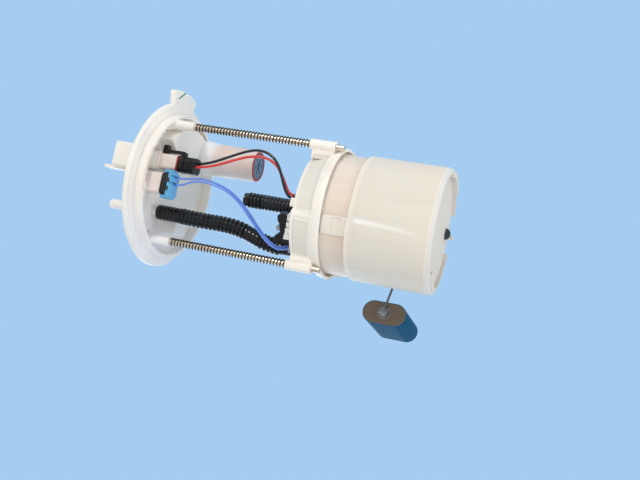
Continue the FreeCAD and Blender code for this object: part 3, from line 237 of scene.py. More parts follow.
def ventPlastic():
    # Pinkish tube, whiter at its root
    look = {"pink": (0.71, 0.53, 0.45), "pale": (0.82, 0.71, 0.65), "paleShare": (0.3, 0.7),
            "cloud": (30.0, 3.0), "root": (0.84, 0.80, 0.76), "rootPlace": (-0.031, -0.019),
            "gloss": (0.36, 0.12, 110.0, 3.0), "grain": (1400.0, 2.0, 0.00004, 0.5)}
    finish = Finish("ventPlastic", 0.4, softness=0.25)
    cloud = finish.noise(*look["cloud"])
    tone = finish.blendColours(cloud.above(*look["paleShare"]), look["pink"], look["pale"])
    finish.colour(finish.blendColours(finish.z.above(*look["rootPlace"]), tone, look["root"]))
    finish.gloss(*look["gloss"])
    finish.grain(*look["grain"])
    return finish.material


def capPlastic():
    # Bright frames round panels which lie a little lower than the frames; the panels are painted darker
    # grey-green as shade, and the ledge is kept out of that shade so it reads as a painted highlight
    look = {"frame": (0.89, 0.82, 0.72), "panel": (0.765, 0.705, 0.605), "panelShare": 0.8,
            "panelClouds": 0.2, "panelLow": -0.1434, "panelHigh": -0.1306, "panelDepth": 0.0005,
            "wall": (0.0425, 0.0430), "lugs": (0.0502, 0.0504), "ledgeStart": -1.885, "ledgeEnd": -1.69,
            "skirt": (0.1453, 0.1458), "warm": (0.82, 0.72, 0.61), "warmClouds": (0.45, 0.7),
            "warmShare": 0.8, "cloud": (26.0, 3.0), "gloss": (0.34, 0.12, 110.0, 3.0),
            "speckle": (1200.0, 2.0), "speckleHeight": 0.05}
    finish = Finish("capPlastic", 0.4, softness=0.25)
    cloud = finish.noise(*look["cloud"])
    radius = finish.radius()
    panel = band(finish.z, look["panelLow"], look["panelHigh"], 0.0003)
    panel = panel * radius.above(*look["wall"]) * (1.0 - radius.above(*look["lugs"]))
    panel = panel * (1.0 - band(finish.angle(), look["ledgeStart"], look["ledgeEnd"], 0.008))
    skirt = (-finish.z).above(*look["skirt"]) * cloud.above(*look["warmClouds"]) * look["warmShare"]
    tone = finish.blendColours(skirt, look["frame"], look["warm"])
    # painted shade: the recessed panels, not the ledge, are tinted darker grey-green
    panelShadeTint = panel * (look["panelShare"] + look["panelClouds"] * cloud)
    finish.colour(finish.blendColours(panelShadeTint, tone, look["panel"]))
    finish.gloss(*look["gloss"])
    height = finish.noise(*look["speckle"]) * look["speckleHeight"] + (1.0 - panel)
    finish.relief(height, look["panelDepth"], 0.8)
    return finish.material


def canPlastic():
    # Warm translucent neck, its latch panel whiter; the folds of the paper inside show as faint stripes
    look = {"peach": (0.75, 0.60, 0.48), "pale": (0.80, 0.70, 0.59), "paleShare": (0.25, 0.75),
            "cloud": (22.0, 3.0), "cloudShare": 0.9, "folds": 30, "foldShare": 0.05,
            "latch": (0.81, 0.73, 0.63), "latchStart": math.radians(-115), "latchEnd": math.radians(-98),
            "latchFace": (0.0475, 0.0478), "latchLow": -0.173, "latchHigh": -0.152,
            "gloss": (0.34, 0.12, 90.0, 3.0), "grain": (900.0, 2.0, 0.00005, 0.4)}
    finish = Finish("canPlastic", 0.4, softness=0.3, specular=0.4)
    turn = finish.angle()
    fold = (turn * look["folds"]).sine() * 0.5 + 0.5
    share = finish.noise(*look["cloud"]) * look["cloudShare"] + fold * look["foldShare"]
    tone = finish.blendColours(share.above(*look["paleShare"]), look["peach"], look["pale"])
    latch = band(turn, look["latchStart"], look["latchEnd"], 0.006)
    latch = latch * finish.radius().above(*look["latchFace"])
    latch = latch * band(finish.z, look["latchLow"], look["latchHigh"], 0.0003)
    finish.colour(finish.blendColours(latch, tone, look["latch"]))
    finish.gloss(*look["gloss"])
    finish.grain(*look["grain"])
    return finish.material


def cupPlastic():
    # Pale rim and grey base, leaning beige towards +x as painted light; a bent crease runs down the near
    # side, leaves one side of it swollen and carries a pale painted highlight
    look = {"grey": (0.73, 0.67, 0.575), "beige": (0.75, 0.65, 0.54), "beigeShare": (0.3, 0.75),
            "litSideBeige": 4.0, "cloud": (14.0, 2.0), "rim": (0.85, 0.76, 0.65), "rimShare": 0.8,
            "rimTop": (-0.178, -0.1722), "rimBottom": (0.2325, 0.2335), "base": (0.72, 0.69, 0.65),
            "baseTop": (0.2336, 0.2338),
            "creaseHighlight": (0.90, 0.85, 0.77), "creaseTurn": -1.754, "creaseBend": 0.055, "creaseHighlightFade": 0.7,
            "creaseStart": -0.01, "creaseEnd": 0.05, "creaseSoft": 0.03, "creaseTop": -0.178,
            "creaseHigh": -0.1775, "creaseLow": -0.224, "creaseLength": 0.046, "swellSide": (-0.03, 0.11),
            "swellHigh": -0.176, "swellLow": -0.227, "swellDepth": 0.0012,
            "gloss": (0.46, 0.12, 70.0, 3.0), "speckle": (1100.0, 2.0), "speckleHeight": 0.02}
    finish = Finish("cupPlastic", 0.5, softness=0.35, specular=0.35)
    # painted light: besides its random clouds, the tone leans beige towards +x, the lit side
    share = finish.noise(*look["cloud"]) + finish.x * look["litSideBeige"]
    tone = finish.blendColours(share.above(*look["beigeShare"]), look["grey"], look["beige"])
    edge = finish.z.above(*look["rimTop"]) + (-finish.z).above(*look["rimBottom"])
    tone = finish.blendColours(edge * look["rimShare"], tone, look["rim"])
    tone = finish.blendColours((-finish.z).above(*look["baseTop"]), tone, look["base"])
    down = (look["creaseTop"] - finish.z) / look["creaseLength"]
    aside = finish.angle() - look["creaseTurn"] + down * down * look["creaseBend"]
    # painted highlight: a pale band along the crease, fading downwards
    creaseHighlight = band(aside, look["creaseStart"], look["creaseEnd"], look["creaseSoft"])
    creaseHighlight = creaseHighlight * band(finish.z, look["creaseLow"], look["creaseHigh"], 0.003)
    finish.colour(finish.blendColours(creaseHighlight * (1.0 - down * look["creaseHighlightFade"]), tone, look["creaseHighlight"]))
    finish.gloss(*look["gloss"])
    swell = 1.0 - aside.above(*look["swellSide"])
    swell = swell * band(finish.z, look["swellLow"], look["swellHigh"], 0.006)
    height = finish.noise(*look["speckle"]) * look["speckleHeight"] + swell
    finish.relief(height, look["swellDepth"], 0.6)
    return finish.material


def mottled(finish, look):
    # A plain piece whose colour drifts between two tones
    finish.colour(finish.blendColours(finish.noise(*look["drift"]), look["low"], look["high"]))
    finish.gloss(*look["gloss"])
    finish.grain(*look["grain"])
    return finish.material


def nylonFitting():
    look = {"low": (0.70, 0.68, 0.63), "high": (0.82, 0.80, 0.76), "drift": (60.0, 3.0),
            "gloss": (0.36, 0.16, 200.0, 3.0), "grain": (1600.0, 2.0, 0.00004, 0.5)}
    return mottled(Finish("nylonFitting", 0.42, softness=0.2), look)


def blackPlastic():
    look = {"low": (0.002, 0.002, 0.002), "high": (0.009, 0.009, 0.009), "drift": (80.0, 3.0),
            "gloss": (0.20, 0.22, 160.0, 4.0), "grain": (1500.0, 3.0, 0.00005, 0.6)}
    return mottled(Finish("blackPlastic", 0.28, specular=0.35), look)


def hoseNylon():
    # Glossy: the rings break the lamp's reflection into a row of short bright strokes
    look = {"low": (0.001, 0.001, 0.001), "high": (0.006, 0.006, 0.006), "drift": (50.0, 2.0),
            "gloss": (0.12, 0.12, 160.0, 3.0), "grain": (300.0, 3.0, 0.00006, 0.6)}
    return mottled(Finish("hoseNylon", 0.16, coat=0.12, specular=0.4), look)


def plainRubber(name, low, high, roughness):
    look = {"low": low, "high": high, "drift": (120.0, 3.0), "gloss": (roughness - 0.08, 0.16, 240.0, 3.0),
            "grain": (1800.0, 3.0, 0.00006, 0.7)}
    return mottled(Finish(name, roughness), look)


def bluePlastic():
    look = {"low": (0.085, 0.31, 0.53), "high": (0.14, 0.45, 0.71), "drift": (110.0, 3.0),
            "gloss": (0.30, 0.14, 220.0, 3.0), "grain": (1500.0, 2.0, 0.00005, 0.5)}
    return mottled(Finish("bluePlastic", 0.36, coat=0.1, softness=0.1), look)


def greyBluePlastic():
    look = {"low": (0.20, 0.25, 0.30), "high": (0.30, 0.35, 0.40), "drift": (150.0, 3.0),
            "gloss": (0.34, 0.16, 220.0, 3.0), "grain": (1500.0, 2.0, 0.00005, 0.5)}
    return mottled(Finish("greyBluePlastic", 0.4), look)


def wireCovering(name, low, high):
    look = {"low": low, "high": high, "drift": (60.0, 2.0), "gloss": (0.24, 0.16, 260.0, 3.0),
            "grain": (700.0, 2.0, 0.00005, 0.6)}
    return mottled(Finish(name, 0.3, coat=0.25), look)


def brushedMetal(name, low, high, roughness, stretch=(1, 1, 0.06)):
    # Fine scratches, drawn out along z unless the stretch is even
    look = {"drift": (70.0, 3.0), "scratches": (900.0, 4.0), "smoother": 0.07, "spread": 0.16,
            "depth": 0.00003}
    finish = Finish(name, roughness, metallic=1.0)
    scratches = finish.noise(*look["scratches"], stretch)
    finish.colour(finish.blendColours(finish.noise(*look["drift"]), low, high))
    finish.rough(roughness - look["smoother"] + look["spread"] * scratches)
    finish.relief(scratches, look["depth"], 0.5)
    return finish.material


def ventFace(x, y):
    # Grey-blue face; the slot in its middle and the holes round it are painted dark as the shade inside them
    look = {"low": (0.10, 0.17, 0.24), "high": (0.17, 0.26, 0.35), "drift": (90.0, 3.0),
            "openingShade": (0.012, 0.02, 0.03), "slotWidth": 0.0016, "slotLength": 0.0042, "slotDepth": 0.0003,
            "holes": 6.0, "holeShare": 0.85, "holeEdge": (0.45, 0.65), "holesStart": 0.0052,
            "holesEnd": 0.0076, "gloss": (0.34, 0.14, 200.0, 3.0)}
    finish = Finish("ventFace", 0.4, specular=0.35)
    slot = band(finish.y - y, -look["slotWidth"], look["slotWidth"], 0.0002)
    slot = slot * band(finish.x - x, -look["slotLength"], look["slotLength"], 0.0002)
    holes = (finish.angle(x, y) * look["holes"]).sine().above(*look["holeEdge"])
    holes = holes * band(finish.radius(x, y), look["holesStart"], look["holesEnd"], 0.0003)
    tone = finish.blendColours(finish.noise(*look["drift"]), look["low"], look["high"])
    # painted shade: the holes and the slot are darkened
    tone = finish.blendColours(holes * look["holeShare"], tone, look["openingShade"])
    finish.colour(finish.blendColours(slot, tone, look["openingShade"]))
    finish.gloss(*look["gloss"])
    finish.relief(1.0 - slot, look["slotDepth"], 0.6)
    return finish.material


floatTurn = {"heading": 103.0, "tilt": 4.0}  # how the float stands at rest, in degrees


def floatFoam():
    # Brown-grey cut face towards the arm, the sides painted blue-grey as a reflection of the blue wall, fine
    # closed cells
    look = {"cut": (0.20, 0.15, 0.107), "sideReflection": (0.004, 0.060, 0.125), "light": (0.010, 0.105, 0.195),
            "drift": (40.0, 3.0), "cornerHeight": -0.1936, "cutFace": (0.0618, 0.0623),
            "gloss": (0.52, 0.2, 180.0, 3.0), "cells": 2200.0, "cellDepth": 0.00010}
    finish = Finish("floatFoam", 0.62, specular=0.1)
    heading, tilt = math.radians(floatTurn["heading"]), math.radians(floatTurn["tilt"])
    across = finish.x * math.cos(heading) + finish.y * math.sin(heading)
    drop = finish.z - look["cornerHeight"]
    along = across * math.cos(tilt) - drop * math.sin(tilt)
    # painted reflection: the sides take the blue of the wall behind
    sideReflection = finish.blendColours(finish.noise(*look["drift"]), look["sideReflection"], look["light"])
    finish.colour(finish.blendColours(1.0 - along.above(*look["cutFace"]), sideReflection, look["cut"]))
    finish.gloss(*look["gloss"])
    finish.relief(finish.cells(look["cells"]), look["cellDepth"], 0.6)
    return finish.material


def filterPaper():
    look = {"low": (0.62, 0.50, 0.32), "high": (0.72, 0.62, 0.44), "drift": (300.0, 4.0),
            "grain": (2500.0, 3.0, 0.00008, 0.8)}
    finish = Finish("filterPaper", 0.8)
    finish.colour(finish.blendColours(finish.noise(*look["drift"]), look["low"], look["high"]))
    finish.grain(*look["grain"])
    return finish.material


def meshCloth():
    # Plain weave: two threads to the pitch
    look = {"low": (0.45, 0.45, 0.42), "high": (0.74, 0.74, 0.70), "pitch": 0.001, "edge": (-0.6, 0.6),
            "depth": 0.00008}
    finish = Finish("meshCloth", 0.7)
    wave = 2 * math.pi / look["pitch"]
    weave = (finish.x * wave).sine() * (finish.y * wave).sine()
    finish.colour(finish.blendColours(weave.above(*look["edge"]), look["low"], look["high"]))
    finish.relief(weave, look["depth"], 0.8)
    return finish.material


def ceramicCard():
    # Fired ceramic with dark printed tracks, level across the card
    look = {"ceramic": (0.72, 0.71, 0.66), "track": (0.10, 0.11, 0.10), "wave": 2400.0, "edge": (0.1, 0.3),
            "depth": 0.00003}
    finish = Finish("ceramicCard", 0.35)
    track = (finish.z * look["wave"]).sine().above(*look["edge"])
    finish.colour(finish.blendColours(track, look["ceramic"], look["track"]))
    finish.relief(track, look["depth"], 0.5)
    return finish.material


finishes = {
    "white_acetal": flangePlastic(),
    "natural_nylon": nylonFitting(),
    "clear_can": canPlastic(),
    "beige_cup": cupPlastic(),
    "black_plastic": blackPlastic(),
    "black_rubber": plainRubber("blackRubber", (0.012, 0.012, 0.012), (0.03, 0.03, 0.03), 0.6),
    "hose_nylon": hoseNylon(),
    "blue_plastic": bluePlastic(),
    "red_rubber": plainRubber("redRubber", (0.34, 0.012, 0.012), (0.50, 0.03, 0.025), 0.4),
    "grey_blue_plastic": greyBluePlastic(),
    "steel": brushedMetal("rodSteel", (0.70, 0.60, 0.48), (0.88, 0.80, 0.68), 0.24),
    "spring_steel": brushedMetal("springSteel", (0.10, 0.07, 0.045), (0.20, 0.15, 0.10), 0.36, (1, 1, 1)),
    "brass": brushedMetal("tinnedBrass", (0.70, 0.58, 0.36), (0.80, 0.72, 0.52), 0.3),
    "wire_black": wireCovering("blackWire", (0.004, 0.004, 0.004), (0.012, 0.012, 0.012)),
    "wire_red": wireCovering("redWire", (0.60, 0.02, 0.012), (0.75, 0.05, 0.03)),
    "wire_blue": wireCovering("blueWire", (0.09, 0.20, 0.62), (0.16, 0.31, 0.84)),
    "float_foam": floatFoam(),
    "ceramic": ceramicCard(),
    "aluminium": brushedMetal("castAluminium", (0.60, 0.60, 0.61), (0.72, 0.72, 0.73), 0.42, (1, 1, 1)),
    "pump_steel": brushedMetal("platedSteel", (0.55, 0.55, 0.54), (0.68, 0.68, 0.66), 0.32),
    "paper": filterPaper(),
    "mesh_cloth": meshCloth(),
    "magnet": plainRubber("ferrite", (0.02, 0.02, 0.022), (0.05, 0.05, 0.055), 0.5),
    "copper": brushedMetal("enamelledCopper", (0.48, 0.20, 0.09), (0.62, 0.30, 0.15), 0.35, (1, 1, 1)),
}
slotOf = {item["node"]: item["material_slot"] for item in frame["record"]["subparts"]}
ownFinish = {
    # nodes whose own look differs from the rest of their slot
    "holder_cap": capPlastic(),
    "vent_tube": ventPlastic(),
    "arm_wire": brushedMetal("armSteel", (0.13, 0.12, 0.11), (0.28, 0.27, 0.25), 0.34),
    "float_retainer": brushedMetal("retainerSteel", (0.22, 0.20, 0.19), (0.48, 0.45, 0.43), 0.10, (1, 1, 1)),
    "foot_valve": plainRubber("valveRubber", (0.03, 0.045, 0.05), (0.055, 0.075, 0.08), 0.4),
}


def finishOf(nodeName):
    return ownFinish.get(nodeName, finishes[slotOf[nodeName]])


for name, node in nodes.items():
    node.data.materials.clear()
    node.data.materials.append(finishOf(name))
print("finishes made:", len(finishes) + len(ownFinish))


# Piece helpers: every bmesh is drawn in millimetres and scaled once when it becomes a piece

def makePiece(bm, name, body, slotName, replaced=(), soft=0.0, sharpAngle=38, heal=True, finish=None):
    # soft is the width of the rounded edges, and replaced the CAD nodes that the piece stands in for
    if heal:
        bmesh.ops.remove_doubles(bm, verts=bm.verts, dist=0.002)
        bmesh.ops.recalc_face_normals(bm, faces=bm.faces)
    bmesh.ops.scale(bm, vec=(mm, mm, mm), verts=bm.verts)
    mesh = bpy.data.meshes.new(name)
    bm.to_mesh(mesh)
    bm.free()
    mesh.materials.append(finish or finishes[slotName])
    mesh.shade_smooth()
    mesh.set_sharp_from_angle(angle=math.radians(sharpAngle))
    piece = bpy.data.objects.new(name, mesh)
    bpy.context.scene.collection.objects.link(piece)
    if soft:
        rounding = piece.modifiers.new("soft edges", "BEVEL")
        rounding.width = soft * mm
        rounding.segments = 3
        rounding.limit_method = "ANGLE"
        rounding.angle_limit = math.radians(sharpAngle)
        rounding.harden_normals = True
    if body:
        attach(piece, body)
    if replaced:
        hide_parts(*replaced)
    return piece


def bodyOf(nodeName):
    bodies = frame["record"]["behaviour"]["bodies"]
    return next(body for body, members in bodies.items() if nodeName in members)


def softCopy(nodeName, soft):
    # A moulded copy of a node: merged, its flat faces joined, its edges rounded
    bm = bmesh.new()
    bm.from_mesh(nodes[nodeName].data)
    bmesh.ops.scale(bm, vec=(1 / mm, 1 / mm, 1 / mm), verts=bm.verts)
    bmesh.ops.remove_doubles(bm, verts=bm.verts, dist=0.004)
    bmesh.ops.dissolve_limit(bm, angle_limit=math.radians(0.6), verts=bm.verts, edges=bm.edges)
    makePiece(bm, nodeName + "_moulded", bodyOf(nodeName), slotOf[nodeName], [nodeName], soft, heal=False,
              finish=finishOf(nodeName))


def turned(bm, outline, steps, centre=(0, 0)):
    # A closed outline of (radius, height) spun round an upright line
    corners = [bm.verts.new((centre[0] + radius, centre[1], height)) for radius, height in outline]
    edges = [bm.edges.new(pair) for pair in zip(corners, corners[1:] + corners[:1])]
    bmesh.ops.spin(bm, geom=corners + edges, cent=(*centre, 0), axis=(0, 0, 1), angle=2 * math.pi,
                   steps=steps, use_merge=True)


def block(bm, x, y, width, length, low, high, corner=0.0):
    # A box, its upright edges rounded by the corner's radius
    made = bmesh.ops.create_cube(bm, size=1.0)["verts"]
    bmesh.ops.scale(bm, vec=(width, length, high - low), verts=made)
    bmesh.ops.translate(bm, vec=(x, y, (low + high) / 2), verts=made)
    if corner:
        upright = {edge for vert in made for edge in vert.link_edges
                   if abs(edge.verts[0].co.z - edge.verts[1].co.z) > (high - low) / 2}
        bmesh.ops.bevel(bm, geom=list(upright), offset=corner, segments=5, profile=0.5, affect="EDGES",
                        material=-1)


# Camera, floor and light

camera = {"place": (-0.0668, -0.5898, -0.3213), "right": (0.2005, 0.2733, -0.9408),
          "up": (0.9771, -0.1255, 0.1717), "back": (-0.0712, -0.9537, -0.2922), "lens": 43.3, "sensor": 36.0,
          "near": 0.02, "far": 20.0}


def makeCamera():
    lens = bpy.data.cameras.new("camera")
    lens.lens = camera["lens"]
    lens.sensor_width = camera["sensor"]
    lens.clip_start = camera["near"]
    lens.clip_end = camera["far"]
    eye = bpy.data.objects.new("camera", lens)
    turn = Matrix((camera["right"], camera["up"], camera["back"])).transposed()
    eye.matrix_world = Matrix.Translation(camera["place"]) @ turn.to_4x4()
    bpy.context.scene.collection.objects.link(eye)
    bpy.context.scene.camera = eye


stage = {"size": 3.0, "gap": 0.0002, "colour": (0.75, 0.77, 0.79), "pale": (0.79, 0.81, 0.83),
         "lamp": "above", "wall": (0.38, 0.61, 0.88), "room": (0.585, 0.56, 0.53), "wallEnd": -0.45,
         "roomStart": 0.35}


def makeFloor():
    # A pale floor just under the feet, clear when it is seen from below
    bm = bmesh.new()
    bmesh.ops.create_grid(bm, x_segments=1, y_segments=1, size=stage["size"])
    bmesh.ops.translate(bm, vec=(0, 0, cadLow.z - stage["gap"]), verts=bm.verts)
    mesh = bpy.data.meshes.new("floor")
    bm.to_mesh(mesh)
    bm.free()
    floor = bpy.data.objects.new("floor", mesh)
    finish = Finish("floorPaint", 0.8, specular=0.0)
    finish.colour(finish.blendColours(finish.noise(3.0, 2.0), stage["colour"], stage["pale"]))
    under = finish.node("ShaderNodeNewGeometry").outputs["Backfacing"]
    clear = finish.node("ShaderNodeBsdfTransparent")
    mix = finish.node("ShaderNodeMixShader",
                      inputs={0: under, 1: finish.shader.outputs[0], 2: clear.outputs[0]})
    finish.tree.links.new(mix.outputs[0], finish.tree.nodes["Material Output"].inputs["Surface"])
    mesh.materials.append(finish.material)
    bpy.context.scene.collection.objects.link(floor)
    floor.visible_shadow = False
    return floor


lights = {
    # name: place, size, watts, colour
    "key": ((0.75, -1.05, 0.25), 0.28, 4.8, (1.0, 0.98, 0.94)),
    "strip": ((1.10, -0.20, -0.10), 0.30, 1.7, (1.0, 0.98, 0.94)),
    "above": ((0.25, -0.25, 1.10), 1.0, 3.5, (1.0, 0.99, 0.97)),
    "behind": ((-0.50, 1.00, 0.45), 1.0, 4.0, (0.95, 0.98, 1.0)),
    "fill": ((-0.70, -0.95, -0.60), 1.2, 6.0, (1.0, 0.98, 0.95)),
    "below": ((0.10, -0.30, -1.05), 0.8, 5.0, (0.97, 0.99, 1.0)),
}


def spareFloor(lamp, floor):
    # Only one lamp lights the floor: the others stand so near that they would leave bright spots
    spared = bpy.data.collections.new(lamp.name + " spares")
    spared.objects.link(floor)
    spared.collection_objects[0].light_linking.link_state = "EXCLUDE"
    lamp.light_linking.receiver_collection = spared


def makeLights(floor):
    middle = (cadLow + cadHigh) / 2
    for name, (place, size, watts, colour) in lights.items():
        lamp = bpy.data.lights.new(name, "AREA")
        lamp.shape = "DISK"
        lamp.size = size
        lamp.energy = watts
        lamp.color = colour
        holder = bpy.data.objects.new(name, lamp)
        holder.location = place
        holder.rotation_mode = "QUATERNION"
        holder.rotation_quaternion = (middle - Vector(place)).to_track_quat("-Z", "Y")
        bpy.context.scene.collection.objects.link(holder)
        if name != stage["lamp"]:
            spareFloor(holder, floor)


def makeSky():
    # White room in front of the part, pale blue wall behind it
    world = bpy.data.worlds.new("sky")
    world.use_nodes = True
    tree = world.node_tree
    where = addNode(tree, "ShaderNodeTexCoord").outputs["Generated"]
    facing = addNode(tree, "ShaderNodeVectorMath", {"operation": "DOT_PRODUCT"},
                     {0: where, 1: camera["back"]})
    share = Value(tree, facing.outputs["Value"]).above(stage["wallEnd"], stage["roomStart"])
    mix = addNode(tree, "ShaderNodeMix", {"data_type": "RGBA"},
                  {0: share, 6: (*stage["wall"], 1), 7: (*stage["room"], 1)})
    tree.links.new(mix.outputs[2], tree.nodes["Background"].inputs["Color"])
    bpy.context.scene.world = world
    bpy.context.scene.view_settings.view_transform = "Standard"


makeCamera()
makeLights(makeFloor())
makeSky()
print("camera, floor and light made")


# Cords: points listed in millimetres, close to those of the solids

port = {"x": -25.5, "y": -22.5}
plugs = {"pumpLow": -39.6, "senderLow": -28.6}
routes = {
    "delivery_hose": [
        (port["x"], port["y"], -6.0), (port["x"], port["y"], -24), (-26.3, -21.4, -45), (-25.7, -20.4, -66),
        (-27.2, -19.7, -80), (-31.4, -18.9, -92.5), (-35.0, -18.2, -104.5), (-35.8, -18.0, -117.0)],
    "pump_wire_black": [
        (16.6, -36.6, plugs["pumpLow"]), (19.0, -36.9, -49.4), (25.2, -37.8, -63), (31.4, -38.8, -76.5),
        (34.9, -39.8, -88), (33.2, -40.8, -99.6), (26.0, -41.4, -108.2), (15.4, -41.2, -113.6),
        (8.2, -40.6, -117), (3.6, -38.8, -119.8), (2.2, -36.0, -122.2), (3.4, -34.4, -124.6)],
    "pump_wire_red": [
        (13.4, -40.2, plugs["pumpLow"]), (15.0, -40.2, -48.8), (18.8, -39.8, -59.5), (24.9, -39.0, -72),
        (29.3, -38.2, -83.5), (30.4, -37.6, -94.5), (26.6, -37.2, -104.8), (17.9, -36.9, -111.9),
        (9.6, -36.6, -116.8), (6.0, -36.6, -119.7), (5.0, -37.2, -122.3), (4.4, -37.9, -124.6)],
    "sender_wire_1": [
        (1.3, -46.6, plugs["senderLow"]), (2.2, -46.1, -36.5), (4.6, -44.7, -47.6), (4.0, -43.3, -57),
        (2.0, -41.8, -66), (-1.6, -40.2, -75), (-8.8, -38.6, -85), (-17.5, -37.0, -94),
        (-26.2, -35.4, -102.3), (-33.4, -33.2, -110.2), (-36.6, -30.6, -117.5), (-35.2, -28.2, -122),
        (-33.9, -26.6, -125)],
    "sender_wire_2": [
        (-4.9, -47.6, plugs["senderLow"]), (-2.9, -47.3, -36), (0.9, -46.6, -42.5), (2.2, -45.9, -49.5),
        (1.9, -44.8, -57), (0.3, -43.6, -65.7), (-2.9, -42.3, -74.5), (-9.8, -40.9, -84.3),
        (-18.5, -39.3, -93.4), (-27.1, -37.8, -101.6), (-34.2, -35.8, -109.4), (-38.0, -33.0, -116.4),
        (-37.8, -30.4, -121.4), (-36.3, -28.6, -125)],
    "sender_lead": [
        (-32.0, -25.0, -126.4), (-28.6, -22.2, -127.8), (-27.0, -17.5, -128.6), (-28.6, -10, -128.65),
        (-31.6, 0, -128.65), (-31.4, 11, -128.65), (-27.0, 22, -128.6), (-20.6, 31.5, -128.4),
        (-16.0, 39.5, -125.6), (-13.6, 47.5, -124.6), (-12.8, 54.2, -128.6), (-12.7, 57.0, -138),
        (-12.8, 57.2, -150), (-12.5, 55.4, -162), (-12.1, 53.0, -172), (-12.0, 52.4, -179.9)],
}
cords = {
    # diameter in millimetres, and how stiff the wire is
    "pump_wire_black": {"diameter": 2.2, "stiffness": "medium"},
    "pump_wire_red": {"diameter": 2.2, "stiffness": "medium"},
    "sender_wire_1": {"diameter": 1.6, "stiffness": "limp"},
    "sender_wire_2": {"diameter": 1.6, "stiffness": "limp"},
    "sender_lead": {"diameter": 2.6, "stiffness": "medium"},
}


def routeCurve(name, resolution=10):
    # A smooth line that starts and ends on the route's first and last points
    curve = bpy.data.curves.new(name, "CURVE")
    curve.dimensions = "3D"
    curve.resolution_u = resolution
    line = curve.splines.new("NURBS")
    line.points.add(len(routes[name]) - 1)
    for point, place in zip(line.points, routes[name]):
        point.co = (*[value * mm for value in place], 1)
    line.order_u = 3
    line.use_endpoint_u = True
    piece = bpy.data.objects.new(name + "_cord", curve)
    bpy.context.scene.collection.objects.link(piece)
    return piece


def routePoints(name, resolution=10):
    # The spline's own points, read from a curve with no bevel
    guide = routeCurve(name, resolution)
    bpy.context.view_layer.update()
    mesh = bpy.data.meshes.new_from_object(guide)
    points = [vert.co.copy() for vert in mesh.vertices]
    bpy.data.meshes.remove(mesh)
    bpy.data.objects.remove(guide)
    return points


def makeWire(name):
    # A tube along the route's spline, made a mesh
    points = routePoints(name)
    guide = routeCurve(name)
    guide.data.bevel_depth = cords[name]["diameter"] / 2 * mm
    guide.data.bevel_resolution = 4
    guide.data.use_fill_caps = True
    bpy.context.view_layer.update()
    mesh = bpy.data.meshes.new_from_object(guide)
    bpy.data.objects.remove(guide)
    mesh.materials.clear()
    mesh.materials.append(finishes[slotOf[name]])
    mesh.shade_smooth()
    piece = bpy.data.objects.new(name + "_covering", mesh)
    bpy.context.scene.collection.objects.link(piece)
    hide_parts(name)
    if name == "sender_lead":
        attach(piece, "reservoir")
    else:
        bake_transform(piece)


for cordName in cords:
    makeWire(cordName)
print("wires made:", len(cords))

hose = {"radius": 6.75, "valley": 5.45, "pitch": 3.58, "crown": 0.12, "cuffRadius": 6.15, "cuffEdge": 0.7,
        "cuffLip": 0.5, "cuffLength": 21.5, "waveStart": 1.6, "waveHeight": 0.24, "waveLength": 3.4,
        "smoothFrom": 78.0, "smoothTo": 93.0, "smoothRadius": 6.2, "smoothHeight": 0.12, "sides": 36,
        "pathSteps": 24, "bendTop": -14.0, "bendEnd": -117.0}


def ringProfile(crest, valley, crown):
    # (share of the pitch, radius) over one ring of a hose; its crest is rounded by the crown
    shoulder = (crest * 2 + valley) / 3
    return ((0.10, valley), (0.24, shoulder), (0.36, crest - crown), (0.50, crest), (0.64, crest - crown),
            (0.76, shoulder), (0.90, valley))


def hoseStations(total):
    # (distance along, radius) down the wall: gentle waves on the cuff over the barb, then sharp rings
    stations = [(0.0, hose["cuffRadius"] - hose["cuffEdge"]), (hose["cuffLip"], hose["cuffRadius"])]
    place = hose["waveStart"]
    while place < hose["cuffLength"]:
        wave = hose["waveHeight"] * math.cos(2 * math.pi * place / hose["waveLength"])
        stations.append((place, hose["cuffRadius"] + wave))
        place += hose["waveLength"] / 4
    place = hose["cuffLength"]
    while place + hose["pitch"] < total:
        crest, valley = hose["radius"], hose["valley"]
        if hose["smoothFrom"] < place + hose["pitch"] / 2 < hose["smoothTo"]:
            crest = hose["smoothRadius"] + hose["smoothHeight"]
            valley = hose["smoothRadius"] - hose["smoothHeight"]
        for share, radius in ringProfile(crest, valley, hose["crown"]):
            stations.append((place + share * hose["pitch"], radius))
        place += hose["pitch"]
    stations.append((total, hose["valley"]))
    return stations


def ringAt(bm, points, lengths, distance, radius):
    # The edges of a ring across the hose, at a distance along its points
    index = next((place for place in range(1, len(lengths)) if lengths[place] >= distance), len(lengths) - 1)
    share = (distance - lengths[index - 1]) / (lengths[index] - lengths[index - 1])
    centre = points[index - 1].lerp(points[index], share)
    before = points[max(index - 2, 0)]
    after = points[min(index + 1, len(points) - 1)]
    turn = Vector((0, 0, -1)).rotation_difference((after - before).normalized()).to_matrix().to_4x4()
    ring = bmesh.ops.create_circle(bm, segments=hose["sides"], radius=radius,
                                   matrix=Matrix.Translation(centre) @ turn)
    return list({edge for vert in ring["verts"] for edge in vert.link_edges})


def makeDeliveryHose():
    metres = routePoints("delivery_hose", hose["pathSteps"])
    points = [point / mm for point in metres]
    lengths = [0.0]
    for before, after in zip(points, points[1:]):
        lengths.append(lengths[-1] + (after - before).length)
    bm = bmesh.new()
    rings = [ringAt(bm, points, lengths, *station) for station in hoseStations(lengths[-1])]
    for ring, nextRing in zip(rings, rings[1:]):
        bmesh.ops.bridge_loops(bm, edges=ring + nextRing)
    bmesh.ops.holes_fill(bm, edges=[edge for edge in bm.edges if edge.is_boundary], sides=0)
    piece = makePiece(bm, "delivery_hose_corrugated", None, "hose_nylon", ["delivery_hose"], sharpAngle=60)
    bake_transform(piece)


makeDeliveryHose()

